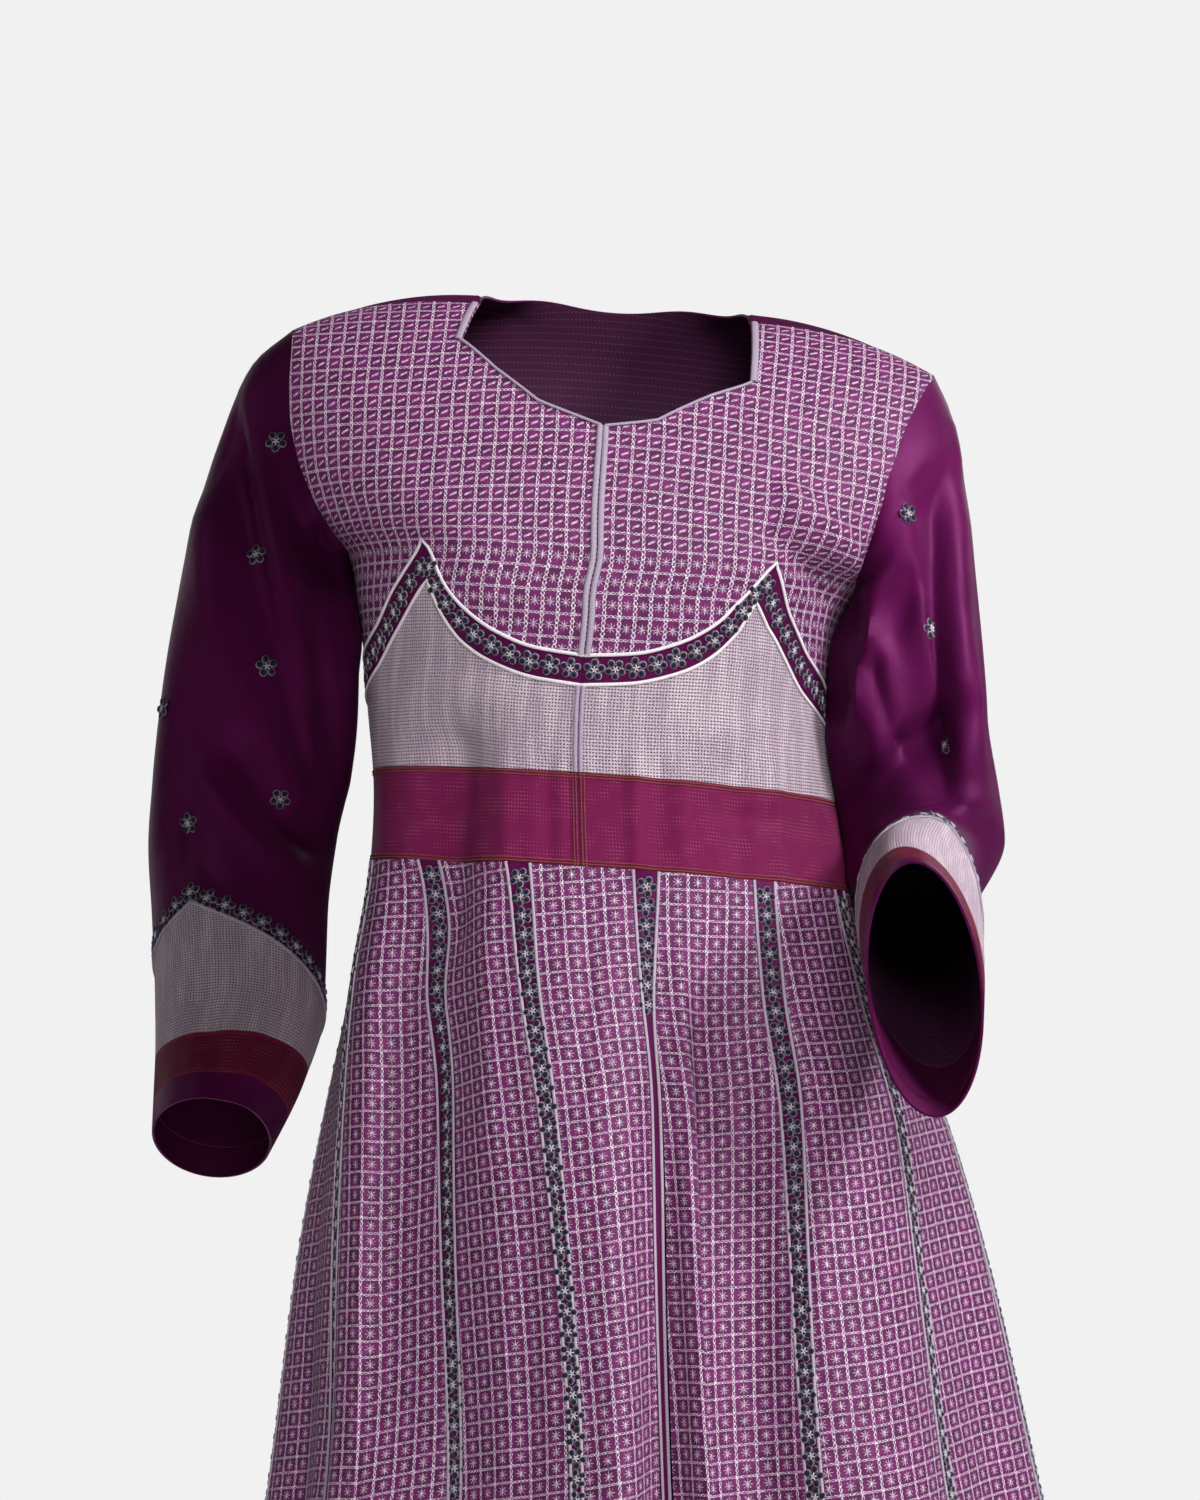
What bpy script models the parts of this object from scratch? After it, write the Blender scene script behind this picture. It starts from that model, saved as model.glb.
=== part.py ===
# Afghan dress in plum satin with chain-stitch embroidery, hollow, in the pose it is worn in.
# Metres, +Z up. The front faces -Y and the wearer's left is +X.
# The origin lies between the shoulders, on the line where they hold the dress up.

import math

import bpy
from mathutils import Vector

# Cloth
GAP = 0.0003            # between pieces at a seam
EDGE_SHARE = 0.55       # of the gap, that each of the two edges gives up
LIFT = 0.0005           # between a panel and what lies on it
EMBROIDERED = 0.0020    # satin with its embroidery and backing
SATIN = 0.0016
BRAID = 0.0020
TRIM = 0.0010           # bindings and bands that lie on a panel

# Drops below the shoulder line, on the middle of the body
WAISTBAND_TOP = 0.341
WAISTBAND_BOTTOM = 0.405
LENGTH = 1.385
HEM_BAND = 0.030        # height of the plain band round the foot
NECK_FRONT = 0.101

# Skirt cut
GORES = 12
GORE_SEGMENTS = 6
GORE_TOP = 0.078        # one gore and one strip, at the waist
GORE_FOOT = 0.260       # the same at the hem
STRIP = 0.0175
SWING_END = 0.45        # share of the skirt's length in which the gores swing to their folds
FLUTE_GROWTH = 0.85     # power by which the flutes deepen down the skirt
SKIRT_ROWS = (0.0, 0.04, 0.10, 0.18, 0.28, 0.40, 0.54, 0.69, 0.84)

# Bust, shoulder and nape
BUST_ANGLE = 35.0
BUST_DROP = 0.205
BUST_OUT = 0.013
BUST_WIDTH = 20.0
BUST_HEIGHT = 0.052
SHOULDER_LEVEL = 0.0955  # half width of the level part of the shoulder line, beside the neck
SHOULDER_END = 0.2265
SHOULDER_FALL = 0.0335
SHOULDER_ROUND = 1.9
SHOULDER_REACH = 0.14    # the shoulder's fall fades out over this drop
NAPE_RISE = 0.034
NAPE_HALF = 0.125
NAPE_REACH = 0.13

# Rings of the body and skirt: middle of the ring, half width, depth in front of and behind the
# side line, fall per metre towards the wearer's left, and turn of the centre front in degrees
BODY_ROWS = (
    # drop  middle   half    front   back    slope   turn
    (0.000, 0.0095, 0.2430, 0.0000, 0.0000, 0.072, 0.0),
    (0.010, 0.0095, 0.2430, 0.0350, 0.0370, 0.072, 0.0),
    (0.030, 0.0095, 0.2430, 0.0580, 0.0620, 0.072, -0.3),
    (0.060, 0.0095, 0.2430, 0.0790, 0.0820, 0.072, -1.0),
    (0.100, 0.0090, 0.2420, 0.0980, 0.0940, 0.072, -1.6),
    (0.130, 0.0070, 0.2340, 0.1090, 0.0990, 0.072, -1.6),
    (0.155, 0.0045, 0.2190, 0.1160, 0.1010, 0.071, -1.5),
    (0.176, 0.0030, 0.1990, 0.1200, 0.1020, 0.070, -1.4),
    (0.193, 0.0020, 0.1780, 0.1220, 0.1020, 0.070, -1.3),
    (0.225, -0.0040, 0.1670, 0.1220, 0.1000, 0.070, -1.2),
    (0.280, -0.0030, 0.1610, 0.1150, 0.0970, 0.070, -3.5),
    (0.341, 0.0030, 0.1620, 0.1090, 0.0980, 0.072, -6.3),
    (0.405, 0.0085, 0.1690, 0.1130, 0.1100, 0.070, -7.3),
    (0.484, 0.0130, 0.1890, 0.1320, 0.1360, 0.050, -7.3),
    (0.564, 0.0220, 0.2110, 0.1530, 0.1620, 0.034, -7.3),
    (0.669, 0.0280, 0.2320, 0.1740, 0.1880, 0.020, -7.3),
    (0.837, 0.0360, 0.2570, 0.2040, 0.2240, 0.008, -7.3),
    (1.100, 0.0430, 0.3050, 0.2500, 0.2750, 0.000, -7.3),
    (1.385, 0.0480, 0.3550, 0.2950, 0.3250, 0.000, -7.3),
)

# Flutes of the skirt: angle at the waist, angle once the gore has swung, and how far the cloth
# stands out from the ring at the hem
FLUTE_ROWS = (
    # waist  below    out
    (-180.0, -180.0, -0.020),
    (-165.0, -159.0, 0.030),
    (-150.0, -139.0, -0.034),
    (-135.0, -120.0, 0.030),
    (-120.0, -103.0, -0.028),
    (-105.0, -86.0, 0.020),
    (-90.0, -70.0, -0.018),
    (-75.0, -56.0, 0.004),
    (-62.0, -44.0, 0.040),
    (-52.0, -32.5, -0.018),
    (-45.0, -26.0, -0.040),
    (-30.0, -14.5, -0.004),
    (-15.0, -3.5, 0.026),
    (-3.0, 2.2, 0.036),
    (15.0, 9.0, -0.046),
    (24.0, 15.5, 0.018),
    (36.0, 25.0, -0.030),
    (45.0, 32.0, -0.006),
    (58.0, 42.5, 0.038),
    (75.0, 58.0, 0.010),
    (90.0, 71.5, -0.010),
    (105.0, 88.0, 0.028),
    (120.0, 104.0, -0.030),
    (135.0, 121.0, 0.030),
    (150.0, 139.5, -0.034),
    (165.0, 159.5, 0.028),
)

# Armhole seam from the shoulder point to the underarm: drop, and the angle at which it crosses
# the front on each side and the back
ARMHOLE_ROWS = (
    # share  drop   right   left    back
    (0.0, 0.0000, 68.5, 68.5, 68.5),
    (0.1, 0.0090, 68.4, 67.6, 68.2),
    (0.2, 0.0290, 68.2, 64.5, 66.8),
    (0.3, 0.0560, 68.0, 60.5, 64.5),
    (0.4, 0.0860, 67.3, 57.0, 62.0),
    (0.5, 0.1160, 66.6, 55.0, 60.0),
    (0.6, 0.1430, 67.0, 57.0, 60.5),
    (0.7, 0.1650, 69.5, 61.5, 63.5),
    (0.8, 0.1810, 74.5, 69.0, 70.0),
    (0.9, 0.1900, 81.5, 79.0, 79.5),
    (1.0, 0.1930, 90.0, 90.0, 90.0),
)
ARMHOLE_SEGMENTS = 10
SIDE_TOP_SEGMENTS = 2   # of the side seam, from the floral band up to the underarm

# Neckline: angle and drop of each turn, from the centre front to the top of the upright side
NECK_RIGHT = ((0.0, NECK_FRONT), (10.5, 0.0865), (18.0, 0.0645), (25.0, 0.0420), (22.8, 0.0120))
NECK_LEFT = ((0.0, NECK_FRONT), (8.5, 0.0950), (17.0, 0.0730), (23.8, 0.0610), (23.2, 0.0120))
MIDDLE_SEGMENTS = 5     # of the centre front, up to the neckline
NECK_SEGMENTS = (2, 1, 1, 3)
SEAM_SEGMENTS = 14
SEAM_MIDDLE = (45.0, 0.0050)
SHOULDER_POINT = (68.5, 0.0)
BACK_NECK_DROP = 0.0200   # of the back neckline, on the middle of the back
BACK_NECK_SEGMENTS = 12

# Scalloped band under the bust: drop of its two edges, either side of its peak
SCALLOP_ROWS = (
    # angle  outer   inner
    (0.0, 0.2616, 0.2820),
    (12.0, 0.2580, 0.2785),
    (22.0, 0.2490, 0.2705),
    (31.0, 0.2340, 0.2575),
    (37.5, 0.2130, 0.2390),
    (41.5, 0.1880, 0.2160),
    (46.5, 0.2010, 0.2290),
    (54.0, 0.2200, 0.2480),
    (66.0, 0.2450, 0.2720),
    (90.0, 0.2660, 0.2930),
)
SCALLOP_PEAK = 41.5
PEAK_STATION = 12       # station of the peak, counted from the centre front
PALE_ROWS = 2

# Bindings and bands on the yoke
FRONT_BAND = 0.0046
BINDING = 0.0050
SLANT_EDGE = 0.0022

# Sleeves, from the armhole down: outer and inner point of each ring, its depth from front to
# back, and the pitch of the arm below the horizontal in degrees
RIGHT_SLEEVE_ROWS = (
    # along  out x    out y    out z    in x     in y     in z     deep   pitch
    (0.000, -0.2166, 0.0000, -0.0172, -0.1760, 0.0000, -0.1805, 0.046, 90.0),
    (0.030, -0.2450, 0.0040, -0.0410, -0.1815, 0.0000, -0.1870, 0.046, 90.0),
    (0.070, -0.2660, 0.0050, -0.0900, -0.1800, -0.0060, -0.1980, 0.051, 90.0),
    (0.120, -0.2860, 0.0020, -0.1640, -0.1755, -0.0160, -0.2170, 0.056, 90.0),
    (0.180, -0.2955, 0.0030, -0.2250, -0.1720, -0.0180, -0.2480, 0.058, 90.0),
    (0.250, -0.3040, 0.0030, -0.2820, -0.1735, -0.0120, -0.2920, 0.057, 90.0),
    (0.320, -0.3115, 0.0010, -0.3400, -0.1755, -0.0060, -0.3360, 0.057, 88.0),
    (0.380, -0.3150, -0.0060, -0.3850, -0.1835, -0.0060, -0.3760, 0.056, 80.0),
    (0.440, -0.3110, -0.0200, -0.4330, -0.1890, -0.0200, -0.4300, 0.054, 73.0),
    (0.520, -0.3060, -0.0450, -0.4920, -0.1895, -0.0450, -0.5000, 0.053, 68.0),
    (0.570, -0.3040, -0.0620, -0.5400, -0.2010, -0.0620, -0.5420, 0.056, 65.0),
    (0.630, -0.3040, -0.0830, -0.5960, -0.2290, -0.0830, -0.6000, 0.061, 63.0),
)
LEFT_SLEEVE_ROWS = (
    (0.000, 0.2356, 0.0000, -0.0498, 0.1800, 0.0000, -0.2055, 0.050, 90.0),
    (0.030, 0.2475, 0.0000, -0.0780, 0.1840, -0.0020, -0.2110, 0.053, 90.0),
    (0.070, 0.2550, 0.0010, -0.1200, 0.1795, -0.0060, -0.2210, 0.059, 90.0),
    (0.120, 0.2595, 0.0030, -0.1740, 0.1705, -0.0150, -0.2370, 0.062, 90.0),
    (0.180, 0.2640, 0.0070, -0.2300, 0.1645, -0.0200, -0.2610, 0.063, 90.0),
    (0.250, 0.2690, 0.0130, -0.2950, 0.1625, -0.0240, -0.3040, 0.062, 90.0),
    (0.310, 0.2770, 0.0170, -0.3450, 0.1690, -0.0180, -0.3480, 0.060, 84.0),
    (0.360, 0.2820, 0.0040, -0.3860, 0.1755, -0.0140, -0.3830, 0.058, 62.0),
    (0.400, 0.2660, -0.0300, -0.4070, 0.1770, -0.0340, -0.4070, 0.056, 40.0),
    (0.450, 0.2580, -0.0820, -0.4220, 0.1760, -0.0780, -0.4200, 0.056, 23.0),
    (0.500, 0.2560, -0.1320, -0.4400, 0.1730, -0.1280, -0.4370, 0.062, 17.0),
    (0.550, 0.2530, -0.1780, -0.4650, 0.1710, -0.1720, -0.4580, 0.070, 14.0),
    (0.610, 0.2490, -0.2240, -0.5000, 0.1730, -0.2160, -0.4820, 0.081, 12.0),
)
LEFT_LEAN_ROWS = (      # how far the foot of a ring hangs out beyond its top
    (0.000, 0.000),
    (0.430, 0.000),
    (0.520, 0.010),
    (0.610, 0.021),
)
RIGHT_LEAN_ROWS = ((0.000, 0.000), (0.620, 0.000))
ARMHOLE_BLEND = 0.130   # over this length the rings turn from the armhole's shape to their own
ARMHOLE_RINGS = (0.0, 0.012, 0.030)
SLEEVE_START = 0.052    # from here the rings are evenly spaced, down to the chevron
SLEEVE_ROWS = 11
ARM = (0.30, 0.0, -0.12)    # a place beyond the armhole on the wearer's left

# Largest folds of the sleeves: angle round the ring from its outer line over the front, half
# width, first and last place along the sleeve, depth, and drift in degrees over the fold
FOLD_COLUMNS = ("angle", "width", "start", "end", "depth", "drift")
RIGHT_FOLDS = (
    (70.0, 20.0, 0.06, 0.44, -0.0060, -18.0),
    (115.0, 18.0, 0.10, 0.50, 0.0055, 10.0),
    (150.0, 16.0, 0.14, 0.46, -0.0060, -8.0),
    (20.0, 18.0, 0.10, 0.40, 0.0040, 14.0),
    (250.0, 24.0, 0.06, 0.46, -0.0060, 20.0),
    (310.0, 20.0, 0.12, 0.52, 0.0050, -16.0),
)
LEFT_FOLDS = (
    (150.0, 20.0, 0.04, 0.30, 0.0080, -36.0),
    (112.0, 15.0, 0.06, 0.34, -0.0075, -24.0),
    (70.0, 18.0, 0.16, 0.40, 0.0050, 20.0),
    (35.0, 16.0, 0.10, 0.38, -0.0050, 12.0),
    (250.0, 24.0, 0.06, 0.36, -0.0060, 26.0),
    (310.0, 22.0, 0.16, 0.44, 0.0050, -20.0),
)

# Cuff pieces, by their place along the sleeve
CHEVRON_PEAK = 61.0     # angle round the ring at which the floral chevron is highest
CHEVRON_TOP = 0.430
CHEVRON_FALL = 0.104
CHEVRON_POWER = 0.86
CUFF_FLOWERS = 0.018    # height of the floral band
BRAID_TOP = 0.566
BRAID_BOTTOM = 0.598
RIGHT_SLEEVE_END = 0.618
LEFT_SLEEVE_END = 0.610
SLEEVE_COLUMNS = 2 * ARMHOLE_SEGMENTS

SETTLE_ROUNDS = 150
ANGLE_SCALE = 0.006     # weighs an angle against a key while a grid settles
STEP_ANGLE = 0.25       # degrees, for the slope of a surface
STEP_KEY = 0.001
STEP_ALONG = 0.0008


# Curves through tables

def curve(places, values):
    """A smooth function through the values that never overshoots them."""
    last = len(places) - 1
    slopes = [(values[i + 1] - values[i]) / (places[i + 1] - places[i]) for i in range(last)]
    tangents = [slopes[0]]
    for before, after in zip(slopes, slopes[1:]):
        tangents.append(0.0 if before * after <= 0 else 2 * before * after / (before + after))
    tangents.append(slopes[-1])

    def value(place):
        place = min(max(place, places[0]), places[-1])
        i = 0
        while i < last - 1 and place > places[i + 1]:
            i += 1
        width = places[i + 1] - places[i]
        t = (place - places[i]) / width
        start, end = values[i], values[i + 1]
        rise = tangents[i] * width * t * (1 - t) ** 2 - tangents[i + 1] * width * t * t * (1 - t)
        return start + (end - start) * t * t * (3 - 2 * t) + rise

    return value


def curves(rows, *names):
    """One smooth function of a table's first column for each of its other, named columns."""
    places = [row[0] for row in rows]
    return {name: curve(places, [row[i + 1] for row in rows]) for i, name in enumerate(names)}


def smooth(t):
    t = min(max(t, 0.0), 1.0)
    return t * t * (3 - 2 * t)


def key_of(drop):
    """Rings are placed by the square root of their drop, which rounds the cloth over the shoulder."""
    return math.sqrt(max(drop, 0.0))


BODY = curves([(key_of(row[0]),) + row[1:] for row in BODY_ROWS],
              "middle", "half", "front", "back", "slope", "turn")
ARMHOLE = curves(ARMHOLE_ROWS, "drop", "right", "left", "back")


def round_curve(column):
    """A smooth function of the waist angle all the way round, from a column of the flutes."""
    turn = [(row[0], column(row)) for row in FLUTE_ROWS]
    wrapped = ([(a - 360, v) for a, v in turn[-3:]] + turn + [(a + 360, v) for a, v in turn[:3]])
    return curve([a for a, _ in wrapped], [v for _, v in wrapped])


FLUTE_SWING = round_curve(lambda row: row[1] - row[0])
FLUTE_OUT = round_curve(lambda row: row[2])


# The dress as one surface, by angle from the centre front and drop below the shoulders

def body(angle, drop):
    """A point on the cloth, not counting the skirt's flutes; +90 degrees is the wearer's left."""
    key = key_of(drop)
    around = math.radians(angle + BODY["turn"](key))
    forward = math.cos(around)
    depth = BODY["front"](key) if forward > 0 else BODY["back"](key)
    aside = BODY["half"](key) * math.sin(around)
    y = -depth * forward
    z = -drop - BODY["slope"](key) * aside
    past_neck = max(0.0, (abs(aside) - SHOULDER_LEVEL) / (SHOULDER_END - SHOULDER_LEVEL))
    fade = max(0.0, 1 - drop / SHOULDER_REACH) ** 2
    z -= SHOULDER_FALL * past_neck ** SHOULDER_ROUND * fade
    if forward > 0:
        for side in (-1, 1):
            across = (angle - side * BUST_ANGLE) / BUST_WIDTH
            along = (drop - BUST_DROP) / BUST_HEIGHT
            y -= BUST_OUT * math.exp(-across * across - along * along)
    else:
        rise = smooth(key / NAPE_REACH) * max(0.0, 1 - (aside / NAPE_HALF) ** 2) ** 2
        z += NAPE_RISE * rise * fade
    return Vector((BODY["middle"](key) + aside, y, z))


def torso(side_angle, key):
    """The body by angle from its middle, with a negative key in front and a positive one behind."""
    return body(side_angle if key < 0 else 180 - side_angle, key * key)


def skirt(angle, drop):
    """A point on the skirt: the body's ring, with its gores swung and fluted."""
    share = max(0.0, (drop - WAISTBAND_BOTTOM) / (LENGTH - WAISTBAND_BOTTOM))
    wrapped = (angle + 180) % 360 - 180
    swing = 1 - (1 - min(share / SWING_END, 1.0)) ** 2
    turned = angle + FLUTE_SWING(wrapped) * swing
    key = key_of(drop)
    around = math.radians(turned + BODY["turn"](key))
    depth = BODY["front"](key) if math.cos(around) > 0 else BODY["back"](key)
    outward = Vector((math.sin(around) / BODY["half"](key), -math.cos(around) / depth, 0.0))
    return body(turned, drop) + outward.normalized() * FLUTE_OUT(wrapped) * share ** FLUTE_GROWTH


def facing(surface, a, b, step_a, step_b):
    """The unit normal of a surface of two values."""
    along_a = surface(a + step_a, b) - surface(a - step_a, b)
    along_b = surface(a, b + step_b) - surface(a, b - step_b)
    return along_a.cross(along_b).normalized()


def torso_normal(side_angle, key):
    if abs(key) < 2 * STEP_KEY:
        key = 2 * STEP_KEY if key >= 0 else -2 * STEP_KEY
    normal = facing(torso, side_angle, key, STEP_ANGLE, STEP_KEY)
    inside = Vector((BODY["middle"](abs(key)), 0.0, min(-0.16, -key * key)))
    outward = torso(side_angle, key) - inside
    return normal if normal.dot(outward) > 0 else -normal


def skirt_normal(angle, drop):
    normal = facing(skirt, angle, drop, STEP_ANGLE, STEP_ALONG)
    return normal if normal.dot(skirt(angle, drop) - Vector((0.0, 0.0, -drop))) > 0 else -normal


# Solids

def plain_material(name, colour, rough):
    material = bpy.data.materials.new(name)
    material.use_nodes = True
    shader = material.node_tree.nodes["Principled BSDF"]
    shader.inputs["Base Color"].default_value = colour + (1.0,)
    shader.inputs["Roughness"].default_value = rough
    shader.inputs["Metallic"].default_value = 0.0
    return material


def seam_gap(grid, closed):
    """Draw the edges of a panel's points in by half a seam gap each."""
    rows, columns = len(grid), len(grid[0])
    moved = [[point.copy() for point in row] for row in grid]
    for j in range(columns):
        for edge, inner in ((0, 1), (rows - 1, rows - 2)):
            moved[edge][j] += (grid[inner][j] - grid[edge][j]).normalized() * GAP * EDGE_SHARE
    if not closed:
        for i in range(rows):
            for edge, inner in ((0, 1), (columns - 1, columns - 2)):
                moved[i][edge] += (grid[i][inner] - grid[i][edge]).normalized() * GAP * EDGE_SHARE
    return moved


def wall(name, outer, inner, material, closed=False):
    """One closed solid between two grids of points; a closed one runs round as a tube."""
    rows, columns = len(outer), len(outer[0])
    points = [p for row in outer for p in row] + [p for row in inner for p in row]
    count = rows * columns
    faces = []

    def quad(a, b, c, d):
        faces.append((a, b, c))
        faces.append((a, c, d))

    spans = columns if closed else columns - 1
    for i in range(rows - 1):
        for j in range(spans):
            a, b = i * columns + j, i * columns + (j + 1) % columns
            c, d = b + columns, a + columns
            if (points[a] - points[c]).length > (points[b] - points[d]).length:
                a, b, c, d = b, c, d, a
            quad(a, b, c, d)
            quad(count + a, count + d, count + c, count + b)
    top = (rows - 1) * columns
    for j in range(spans):
        k = (j + 1) % columns
        quad(k, j, count + j, count + k)
        quad(top + k, count + top + k, count + top + j, top + j)
    if not closed:
        for i in range(rows - 1):
            a, d = i * columns, (i + 1) * columns
            quad(a, d, count + d, count + a)
            a, d = a + columns - 1, d + columns - 1
            quad(a, count + a, count + d, d)
    mesh = bpy.data.meshes.new(name)
    mesh.from_pydata(points, [], faces)
    if volume(points, faces) < 0:
        mesh.flip_normals()
    mesh.shade_smooth()
    mesh.set_sharp_from_angle(angle=math.radians(40))
    mesh.materials.append(material)
    solid = bpy.data.objects.new(name, mesh)
    bpy.context.scene.collection.objects.link(solid)


def volume(points, faces):
    return sum(points[a].dot(points[b].cross(points[c])) for a, b, c in faces) / 6


def panel(name, places, surface, normal, thickness, material, closed=False):
    """A wall of cloth over a grid of places on a surface; its points and normals are returned."""
    outer = seam_gap([[surface(a, b) for a, b in row] for row in places], closed)
    normals = [[normal(a, b) for a, b in row] for row in places]
    inner = [[p - n * thickness for p, n in zip(line, facings)]
             for line, facings in zip(outer, normals)]
    wall(name, outer, inner, material, closed)
    return outer, normals


def overlay(name, edge, across, normals, width, material):
    """A band on a panel, from points on one edge of it towards the next row of its points."""
    lines = []
    for share in (0.0, 1.0):
        lines.append([start + (end - start).normalized() * width * share
                      for start, end in zip(edge, across)])
    lines = seam_gap(lines, closed=False)
    low = [[p + n * LIFT for p, n in zip(line, normals)] for line in lines]
    high = [[p + n * (LIFT + TRIM) for p, n in zip(line, normals)] for line in lines]
    wall(name, high, low, material)


# Places on the surface

def stretch(turns, segments):
    """Evenly placed points along straight stretches between turns, each stretch's number given."""
    places = [turns[0]]
    for (a, b), (c, d), count in zip(turns, turns[1:], segments):
        places += [(a + (c - a) * k / count, b + (d - b) * k / count) for k in range(1, count + 1)]
    return places


def patch(bottom, top, left, right):
    """A grid of places that fills four edges; each edge is a list of pairs."""
    rows, columns = len(left) - 1, len(bottom) - 1
    grid = []
    for i in range(rows + 1):
        v = i / rows
        line = []
        for j in range(columns + 1):
            u = j / columns
            pair = []
            for k in (0, 1):
                edges = (1 - v) * bottom[j][k] + v * top[j][k] + (1 - u) * left[i][k] + u * right[i][k]
                corners = ((1 - u) * (1 - v) * bottom[0][k] + u * (1 - v) * bottom[-1][k]
                           + (1 - u) * v * top[0][k] + u * v * top[-1][k])
                pair.append(edges - corners)
            line.append(tuple(pair))
        grid.append(line)
    return grid


def settled(grid):
    """The same grid, with its inner places eased until its lines cross evenly."""
    rows, columns = len(grid), len(grid[0])
    places = [[Vector((a * ANGLE_SCALE, k)) for a, k in line] for line in grid]
    for _ in range(SETTLE_ROUNDS):
        for i in range(1, rows - 1):
            for j in range(1, columns - 1):
                east, west = places[i][j + 1], places[i][j - 1]
                north, south = places[i + 1][j], places[i - 1][j]
                along, up = (east - west) / 2, (north - south) / 2
                slant = (places[i + 1][j + 1] - places[i - 1][j + 1]
                         - places[i + 1][j - 1] + places[i - 1][j - 1]) / 4
                wide, tall = up.dot(up), along.dot(along)
                eased = (east + west) * wide + (north + south) * tall - slant * 2 * along.dot(up)
                places[i][j] = eased / (2 * (wide + tall))
    return [[(place.x / ANGLE_SCALE, place.y) for place in line] for line in places]


def strip_half_angle(share):
    """Half the angle that a strip takes of its gore's, which widens down the skirt."""
    return 180 / GORES * STRIP / (GORE_TOP + (GORE_FOOT - GORE_TOP) * share)


def strip_middle(number):
    return 360 / GORES * (number + 0.5)


def gore_places(number, share):
    """Angles of a gore's points at a share of the skirt's length."""
    half = strip_half_angle(share)
    start, end = strip_middle(number - 1) + half, strip_middle(number) - half
    return [start + (end - start) * k / GORE_SEGMENTS for k in range(GORE_SEGMENTS + 1)]


def waist_stations():
    """Angles of every point round the waist seam, from the centre front round to it again."""
    angles = []
    for number in range(GORES + 1):
        angles += gore_places(number, 0.0)
    return [a for a in angles if -0.01 <= a <= 360.01]


def signed_key(drop):
    return -key_of(drop)


def mirrored(pairs, side):
    return [(side * a, b) for a, b in pairs]


# Bodice

def armhole_places(face, side):
    """The armhole from the underarm to the shoulder point, as angles and drops."""
    shares = [1 - k / ARMHOLE_SEGMENTS for k in range(ARMHOLE_SEGMENTS + 1)]
    return [(side * ARMHOLE[face](share), ARMHOLE["drop"](share)) for share in shares]


def shoulder_seam(turns, segments):
    """The forward shoulder seam, from the neck to the shoulder point."""
    marks = keyed([turns[-1], SEAM_MIDDLE, SHOULDER_POINT])
    return stretch(marks, (segments // 2, segments - segments // 2))


def back_neck(start):
    """A quarter round from the end of a shoulder seam to the middle of the back."""
    places = []
    for k in range(1, BACK_NECK_SEGMENTS + 1):
        turn = math.pi / 2 * k / BACK_NECK_SEGMENTS
        rise = (key_of(BACK_NECK_DROP) - start[1]) * math.sin(turn)
        places.append((start[0] * math.cos(turn), start[1] + rise))
    return places


def scallop_places(column):
    """Points along an edge of the scalloped band, with one exactly at its peak."""
    edge = curve([row[0] for row in SCALLOP_ROWS[:6]], [row[column] for row in SCALLOP_ROWS[:6]])
    side = curve([row[0] for row in SCALLOP_ROWS[5:]], [row[column] for row in SCALLOP_ROWS[5:]])
    last = 3 * (GORE_SEGMENTS + 1)
    places = []
    for k in range(last + 1):
        if k <= PEAK_STATION:
            angle = SCALLOP_PEAK * k / PEAK_STATION
            places.append((angle, edge(angle)))
        else:
            share = (k - PEAK_STATION) / (last - PEAK_STATION)
            angle = SCALLOP_PEAK + (90 - SCALLOP_PEAK) * share
            places.append((angle, side(angle)))
    return places


def keyed(pairs):
    return [(a, signed_key(d)) for a, d in pairs]


def straight(start, end, segments):
    return stretch([start, end], (segments,))


def front(side, hand, turns, colours):
    """The pieces of one front half; side is -1 for the wearer's right."""
    outer, inner = keyed(scallop_places(1)), keyed(scallop_places(2))
    waist = [(a, signed_key(WAISTBAND_TOP)) for a in waist_stations() if a <= 90.01]
    armhole = keyed(armhole_places(hand, 1))
    yoke_side = straight(outer[-1], armhole[0], SIDE_TOP_SEGMENTS) + armhole[1:]
    yoke_middle = stretch([outer[0]] + keyed(turns), (MIDDLE_SEGMENTS,) + NECK_SEGMENTS)
    yoke_top = shoulder_seam(turns, len(outer) - 1)
    pieces = (
        ("bodice_yoke_", settled(patch(outer, yoke_top, yoke_middle, yoke_side)), "grid"),
        ("bodice_floral_band_", patch(inner, outer, [inner[0], outer[0]], [inner[-1], outer[-1]]),
         "floral"),
        ("bodice_pale_panel_", patch(waist, inner, straight(waist[0], inner[0], PALE_ROWS),
                                     straight(waist[-1], inner[-1], PALE_ROWS)), "pale"),
    )
    yoke = None
    for name, places, colour in pieces:
        made = panel(name + hand, [mirrored(row, side) for row in places], torso, torso_normal,
                     EMBROIDERED, colours[colour])
        yoke = yoke or made
    points, normals = yoke
    corner = MIDDLE_SEGMENTS + sum(NECK_SEGMENTS[:3])
    for name, first, last, width in (("centre_front_band_", 0, MIDDLE_SEGMENTS, FRONT_BAND),
                                     ("neckline_edge_", MIDDLE_SEGMENTS, corner, SLANT_EDGE),
                                     ("neck_binding_", corner, len(points) - 1, BINDING)):
        rows = range(first, last + 1)
        overlay(name + hand, [points[i][0] for i in rows], [points[i][1] for i in rows],
                [normals[i][0] for i in rows], width, colours["cord"])


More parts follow.
